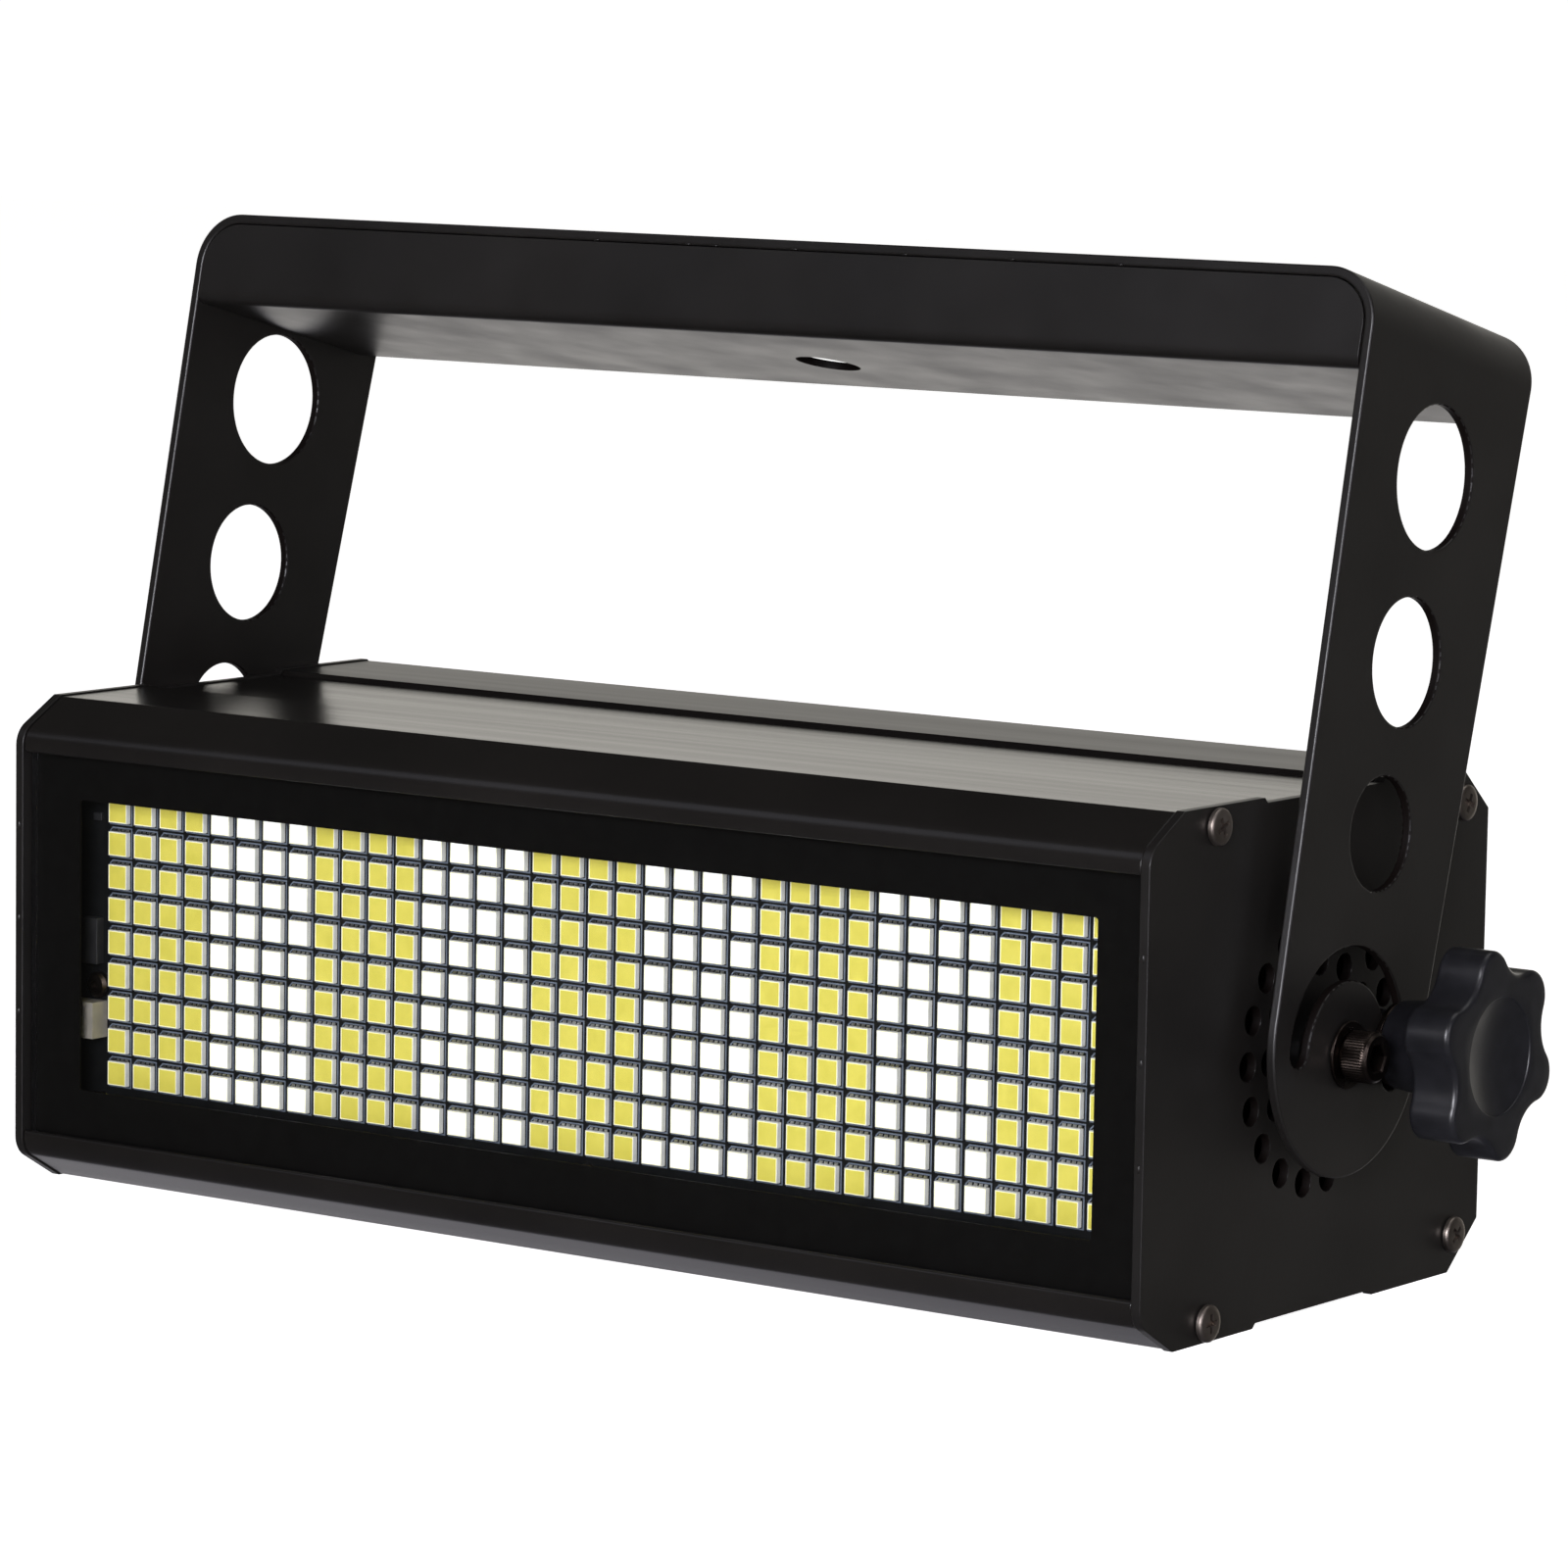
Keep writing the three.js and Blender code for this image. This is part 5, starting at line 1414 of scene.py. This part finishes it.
@dataclass
class Screws(Maker):
    """Pan-head screws with a cross recess."""

    radius: float = 3.6
    height: float = 1.4
    side_share: float = 0.5
    face_share: float = 0.8
    crown: float = 0.12
    shank: float = 1.55
    length: float = 11
    panel_length: float = 5.9
    foot_edge: float = 0.15
    bow_steps: int = 12
    sides: int = 48
    arm: Span = (1.9, 0.5)
    depth: float = 1.1
    smooth: float = 35
    spins: Triple = (17, 67, 31)
    panel_spin: float = 50

    def template(self, length: float) -> bpy.types.Object:
        """One screw along X with its seat at zero.

        Args:
            length: The shank's length.

        Returns:
            The screw: its low head has a straight side, an ellipse's quarter for its shoulder and a
            face that rises a little as a sine, all turned round, with a cross cut in it.
        """
        bow = np.linspace(0, math.pi / 2, self.bow_steps)
        straight, face = self.height * self.side_share, self.radius * self.face_share
        level = self.height - self.crown
        profile = [(0, -length), (self.shank, -length), (self.shank, 0)]
        profile += [(self.radius - self.foot_edge, 0), (self.radius, self.foot_edge)]
        profile += [
            (face + (self.radius - face) * math.cos(a), straight + (level - straight) * math.sin(a))
            for a in bow]
        profile += [(face * math.cos(a), level + self.crown * math.sin(a)) for a in bow[1:]]
        bench = Workshop(Vector((0, 0, 0)))
        screw = bench.mesh("screw", revolved(profile, self.sides), [self.finishes.bronze])
        long, half = self.arm
        for size in ((2 * long, 2 * half), (2 * half, 2 * long)):
            bar = prism_x(rectangle(*size), self.height - self.depth, self.height + 1)
            bench.combine(screw, bar, "DIFFERENCE")
        bench.smooth(screw, self.smooth)
        return screw

    def place(self, template: bpy.types.Object, node: str, at: Vector, turn: float, spin: float) -> None:
        """Puts a copy of a screw in its place.

        Args:
            template: The screw to copy.
            node: The CAD node it stands for.
            at: The middle of its seat, in millimetres from the tilt axis.
            turn: How far it is turned about Z, in radians.
            spin: How far it is driven round, in degrees.
        """
        face = Matrix.Rotation(turn, 4, "Z") @ Matrix.Rotation(math.radians(spin), 4, "X")
        data = template.data.copy()
        data.transform(Matrix.Translation(at * MM + self.shop.pivot) @ face)
        self.shop.seat(placed(node + "_head", data), Body.HOUSING, "bronze_steel", node)

    def build(self, housing: Housing, panel: RearPanel) -> None:
        """Makes the plates' and the panel's screws, each turned its own way.

        Args:
            housing: Gives the plates' screw places.
            panel: Gives the panel's screw places.
        """
        start, step, other = self.spins
        plate_screw, panel_screw = self.template(self.length), self.template(self.panel_length)
        for number, (y, z) in enumerate(housing.screws, 1):
            for side in Side:
                at = Vector((side.value * (housing.half_width + housing.gap), y, z))
                self.place(
                    plate_screw, f"plate_screw_{side.label}_{number}", at,
                    0 if side is Side.RIGHT else math.pi, start + step * number + other * side.value)
        for number, (x, z) in enumerate(panel.screw_places(), 1):
            at = Vector((x, panel.outer + panel.gap, z))
            self.place(panel_screw, f"panel_screw_{number}", at, math.pi / 2, self.panel_spin * number)
        for template in (plate_screw, panel_screw):
            bpy.data.objects.remove(template)


@dataclass
class RearPanel(Maker):
    """The rear sheet with its menu, signal sockets and power inlet."""

    outer: float = 61.95
    sheet: float = 2
    sheet_edge: tuple[float, int] = (0.3, 2)
    gap: float = 0.2
    half_width: float = 137.8
    half_height: float = 37.2
    screw_inset: float = 7.5
    screw_rise: float = 33.2
    screw_hole: float = 1.85
    menu_x: float = -86
    display_rise: float = 13
    display: Triple = (46, 18, 1)
    button_drop: float = 12
    button_pitch: float = 13
    buttons: int = 4
    button_radius: float = 3
    button_clearance: float = 0.35
    button_proud: float = 1.6
    button_flange: Span = (4, 1.2)
    button_crown: tuple[Span, ...] = ((0, -0.6), (-0.15, -0.25), (-0.5, -0.05), (-1.2, 0))
    button_sides: int = 48
    button_smooth: float = 35
    signal_x: Span = (2, 38)
    barrel: float = 12.4
    inlet_x: float = 96
    inlet_hole: Triple = (27.4, 42.4, 0.4)
    merge: float = 1e-6
    flat_angle: float = math.radians(1)

    def screw_places(self) -> list[Span]:
        """Places (x, z) of the panel's screws, in the order of their nodes."""
        x, z = self.half_width - self.screw_inset, self.screw_rise
        return [(-x, z), (x, z), (-x, -z), (x, -z)]

    def button_places(self) -> list[float]:
        """Places along X of the menu buttons."""
        return [self.menu_x + (i - (self.buttons - 1) / 2) * self.button_pitch for i in range(self.buttons)]

    def panel(self) -> None:
        """The sheet with its openings: the display, the inlet, and round holes for the rest."""
        inner = self.outer - self.sheet
        near, far = inner - 1, self.outer + 1
        blank = prism_y(rectangle(2 * self.half_width, 2 * self.half_height), inner, self.outer)
        piece = self.shop.mesh("rear_sheet", blank, [self.finishes.sheet])
        cutters = [
            prism_y(round_rectangle(*size), near, far).moved(x, 0, z)
            for x, z, size in (
                (self.menu_x, self.display_rise, self.display), (self.inlet_x, 0, self.inlet_hole))]
        clear = self.button_radius + self.button_clearance
        holes = [(x, -self.button_drop, clear) for x in self.button_places()]
        holes += [(x, 0, self.barrel + self.gap) for x in self.signal_x]
        holes += [(x, z, self.screw_hole) for x, z in self.screw_places()]
        cutters += [along_y(rod(radius, near, far, ROUND)).moved(x, 0, z) for x, z, radius in holes]
        self.shop.combine(piece, Shape.joined(cutters), "DIFFERENCE")
        self.shop.bevel(piece, *self.sheet_edge)
        self.shop.seat(piece, Body.HOUSING, "black_sheet", "rear_panel")

    def menu(self, frame: dict) -> None:
        """Buttons with domed caps, the lens and what lies behind it.

        Args:
            frame: The loaded frame.
        """
        inner = self.outer - self.sheet - self.gap
        top, radius = self.outer + self.button_proud, self.button_radius
        flange, thick = self.button_flange
        profile = [(0, inner - thick), (flange, inner - thick), (flange, inner), (radius, inner)]
        profile += [(radius + out, top + up) for out, up in self.button_crown]
        cap = along_y(revolved([*profile, (0, top)], self.button_sides))
        for number, x in enumerate(self.button_places(), 1):
            self.shop.piece(
                f"menu_cap_{number}", cap.moved(x, 0, -self.button_drop), [self.finishes.plastic],
                f"button_{number}", "black_plastic", f"menu_button_{number}",
                smooth=self.button_smooth)
        dress(frame, "display_lens", self.finishes.lens)
        dress(frame, "display_module", self.finishes.plastic)
        dress(frame, "control_board", self.finishes.green)

    def copied(self, frame: dict, node: str, name: str, material: bpy.types.Material) -> bpy.types.Object:
        """A copy of a CAD node with its doubled points merged and its flat faces cut anew.

        Args:
            frame: The loaded frame.
            node: The node to copy.
            name: The copy's name.
            material: Its finish.

        Returns:
            The copy.
        """
        data = frame["nodes"][node].data.copy()
        work = bmesh.new()
        work.from_mesh(data)
        bmesh.ops.remove_doubles(work, verts=work.verts, dist=self.merge)
        bmesh.ops.dissolve_limit(
            work, angle_limit=self.flat_angle, verts=work.verts, edges=work.edges,
            use_dissolve_boundaries=False)
        bmesh.ops.triangulate(work, faces=work.faces)
        work.to_mesh(data)
        work.free()
        data.materials.clear()
        data.materials.append(material)
        return placed(name, data)

    def sockets(self, frame: dict) -> None:
        """Signal sockets, latch, power inlet and fuse drawer with soft edges.

        Args:
            frame: The loaded frame.
        """
        metal, plastic = (self.finishes.nickel, "nickel_steel"), (self.finishes.plastic, "black_plastic")
        items = [
            ("signal_in", "socket_in", metal, 0.2, Body.HOUSING),
            ("signal_out", "socket_out", metal, 0.15, Body.HOUSING),
            ("signal_latch", "socket_latch", metal, 0.25, Body.LATCH),
            ("power_inlet", "inlet_moulding", plastic, 0.25, Body.HOUSING),
            ("fuse_drawer", "drawer_moulding", plastic, 0.25, Body.DRAWER),
        ]
        for node, name, (material, slot), width, body in items:
            piece = self.copied(frame, node, name, material)
            self.shop.bevel(piece, width, 2)
            self.shop.seat(piece, body, slot, node)


@dataclass
class Interior:
    """What lies inside or shows as a carried-over CAD node: it only gets its finish."""

    finishes: Finishes

    def build(self, frame: dict) -> None:
        """Dresses the remaining nodes.

        Args:
            frame: The loaded frame.
        """
        looks = [("power_supply", "green"), ("driver_board", "green")]
        for side in Side:
            for node, look in (
                    ("pivot_spacer", "plastic"), ("clamp_bush", "plastic"), ("pivot_nut", "zinc"),
                    ("clamp_stud", "zinc")):
                looks.append((f"{node}_{side.label}", look))
        for node, look in looks:
            dress(frame, node, getattr(self.finishes, look))


# Camera, floor and light


@dataclass(frozen=True)
class Lamp:
    """A soft rectangular lamp: its place, width and height in metres, its watts and its hue."""

    name: str
    place: Triple
    size: Span
    power: float
    colour: Colour = (1, 1, 1)

    def build(self, target: Vector) -> None:
        """Makes the lamp.

        Args:
            target: The point that it looks at, in metres.
        """
        data = bpy.data.lights.new(self.name, "AREA")
        data.shape = "RECTANGLE"
        data.size, data.size_y = self.size
        data.energy, data.color = self.power, self.colour
        turn = (target - Vector(self.place)).to_track_quat("-Z", "Y").to_matrix().to_4x4()
        placed(self.name, data).matrix_world = Matrix.Translation(self.place) @ turn


@dataclass
class Studio:
    """The camera of the photograph, a pale floor and soft light."""

    lens: float = 154.22
    sensor: float = 36
    eye: Triple = (800.980, -1087.537, 256.949)
    right: Triple = (0.80826397, 0.58859754, 0.01619531)
    up: Triple = (-0.08509949, 0.08955457, 0.99233969)
    forward: Triple = (-0.58263833, 0.80345063, -0.12247308)
    floor_size: float = 8
    sky: float = 1.05
    glow_toward: Triple = (-0.62, 0.78, 0.0)
    glow: Span = (0.05, 1.56)
    glow_edge: Span = (0.45, 0.95)
    glow_crown: Span = (0.5, -0.15)
    glow_foot: Span = (-0.82, -0.25)
    tone: tuple[float, ...] = (1.0, 0.965, 0.89, 1.0)
    low_tone: tuple[float, ...] = (0.90, 0.88, 1.0, 1.0)
    tone_edge: Span = (-0.35, -0.6)
    target: Triple = (0, 0, 0.06)
    lamps: tuple[Lamp, ...] = (
        Lamp("overhead", (0.5, 0.5, 1.6), (1.2, 1.0), 4),
        Lamp("window key", (0.55, -1.35, 0.45), (0.6, 0.45), 25, (0.94, 0.93, 1.0)),
        Lamp("edge strip", (1.5, -0.42, 0.35), (0.25, 1.2), 5, (0.92, 0.9, 1.0)),
        Lamp("soft wall", (0.93, -1.29, 0.33), (0.9, 0.9), 3.0, (0.88, 0.87, 1.0)),
        Lamp("lip fill", (-0.75, -0.9, 0.98), (0.7, 0.5), 0.6, (0.85, 0.87, 1.0)),
    )

    def camera(self, middle_y: float) -> None:
        """Places the camera.

        Args:
            middle_y: The middle of the end plates' depth, which the eye's place is measured from.
        """
        data = bpy.data.cameras.new("camera")
        data.lens = self.lens
        data.sensor_width = self.sensor
        axes = Matrix((self.right, self.up, tuple(-v for v in self.forward))).transposed().to_4x4()
        place = Vector(self.eye) * MM + Vector((0, middle_y, 0))
        camera = placed("camera", data)
        camera.matrix_world = Matrix.Translation(place) @ axes
        bpy.context.scene.camera = camera

    def floor(self) -> None:
        """A plain pale floor that mirrors don't see."""
        data = bpy.data.meshes.new("floor")
        corners = rectangle(self.floor_size, self.floor_size).tolist()
        data.from_pydata([(x, y, 0) for x, y in corners], [], [(0, 1, 2, 3)])
        data.materials.append(Moulded(
            "pale floor", (0.86, 0.86, 0.86), (0.88, 0.88, 0.88), (0.8, 0.9), grain=Noise(40, 2),
            glow=1.05).build())
        floor = placed("floor", data)
        floor.visible_glossy = False

    def world(self) -> None:
        """A white surround for the camera, and for mirrors a dark room with one bright low wall.

        The wall's light is a smooth step on the cosine to its middle, times a smooth step on height
        that ends it above and another that ends it below. Far down its warm tone turns bluish.
        """
        world = bpy.data.worlds.new("studio")
        bpy.context.scene.world = world
        tree = NodeTree(world, "OutputWorld")
        ray = tree.node("TexCoord").outputs["Generated"]
        middle = Vector(self.glow_toward).normalized()
        toward = tree.node("VectorMath", {0: ray, 1: middle}, operation="DOT_PRODUCT").outputs["Value"]
        height = tree.node("SeparateXYZ", {"Vector": ray}).outputs["Z"]
        level = tree.mapped(toward, self.glow_edge, interpolation_type="SMOOTHSTEP")
        for edge in (self.glow_crown, self.glow_foot):
            step = tree.mapped(height, edge, interpolation_type="SMOOTHSTEP")
            level = tree.node("Math", {0: level, 1: step}, operation="MULTIPLY").outputs["Value"]
        lower = tree.mapped(height, self.tone_edge)
        tone = tree.node("Mix", {"A": self.tone, "B": self.low_tone, "Factor": lower}, data_type="RGBA")
        strength = tree.mapped(level, (0, 1), self.glow)
        room = tree.node("Background", {"Color": tone.outputs["Result"], "Strength": strength})
        seen = tree.node("Background", {"Color": (1, 1, 1, 1), "Strength": self.sky})
        camera_ray = tree.node("LightPath").outputs["Is Camera Ray"]
        inputs = {"Fac": camera_ray, 1: room.outputs["Background"], 2: seen.outputs["Background"]}
        tree.closed(tree.node("MixShader", inputs).outputs["Shader"])

    def build(self, middle_y: float) -> None:
        """Sets the whole studio: overhead, key, edge and fill lamps beside the world's low wall.

        Args:
            middle_y: The middle of the end plates' depth, in metres.
        """
        bpy.context.scene.view_settings.view_transform = "Standard"
        self.camera(middle_y)
        self.floor()
        self.world()
        for lamp in self.lamps:
            lamp.build(Vector(self.target))


def main() -> None:
    """Builds every sub-assembly on the frame."""
    logging.basicConfig(level=logging.INFO, format="%(name)s: %(message)s")
    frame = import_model()
    low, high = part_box("end_plate_right")
    pivot = Vector((0, low.y + Housing.front * MM, low.z + Housing.half_height * MM))
    shop, finishes = Workshop(pivot), Finishes()
    Studio().build((low.y + high.y) / 2)
    housing = Housing(shop, finishes)
    housing.profiles()
    housing.end_plates()
    housing.window(frame)
    DiodeField(shop, finishes).build(frame)
    yoke = Yoke(shop, finishes)
    yoke.frame()
    yoke.nubs()
    yoke.channel()
    clamp, bolt = Clamp(shop, finishes), Pivot(shop, finishes)
    for side in Side:
        clamp.build(side)
        bolt.build(side)
    panel = RearPanel(shop, finishes)
    panel.panel()
    panel.menu(frame)
    panel.sockets(frame)
    Screws(shop, finishes).build(housing, panel)
    Interior(finishes).build(frame)
    LOG.info("%d pieces made", shop.pieces)


if __name__ == "__main__":
    main()
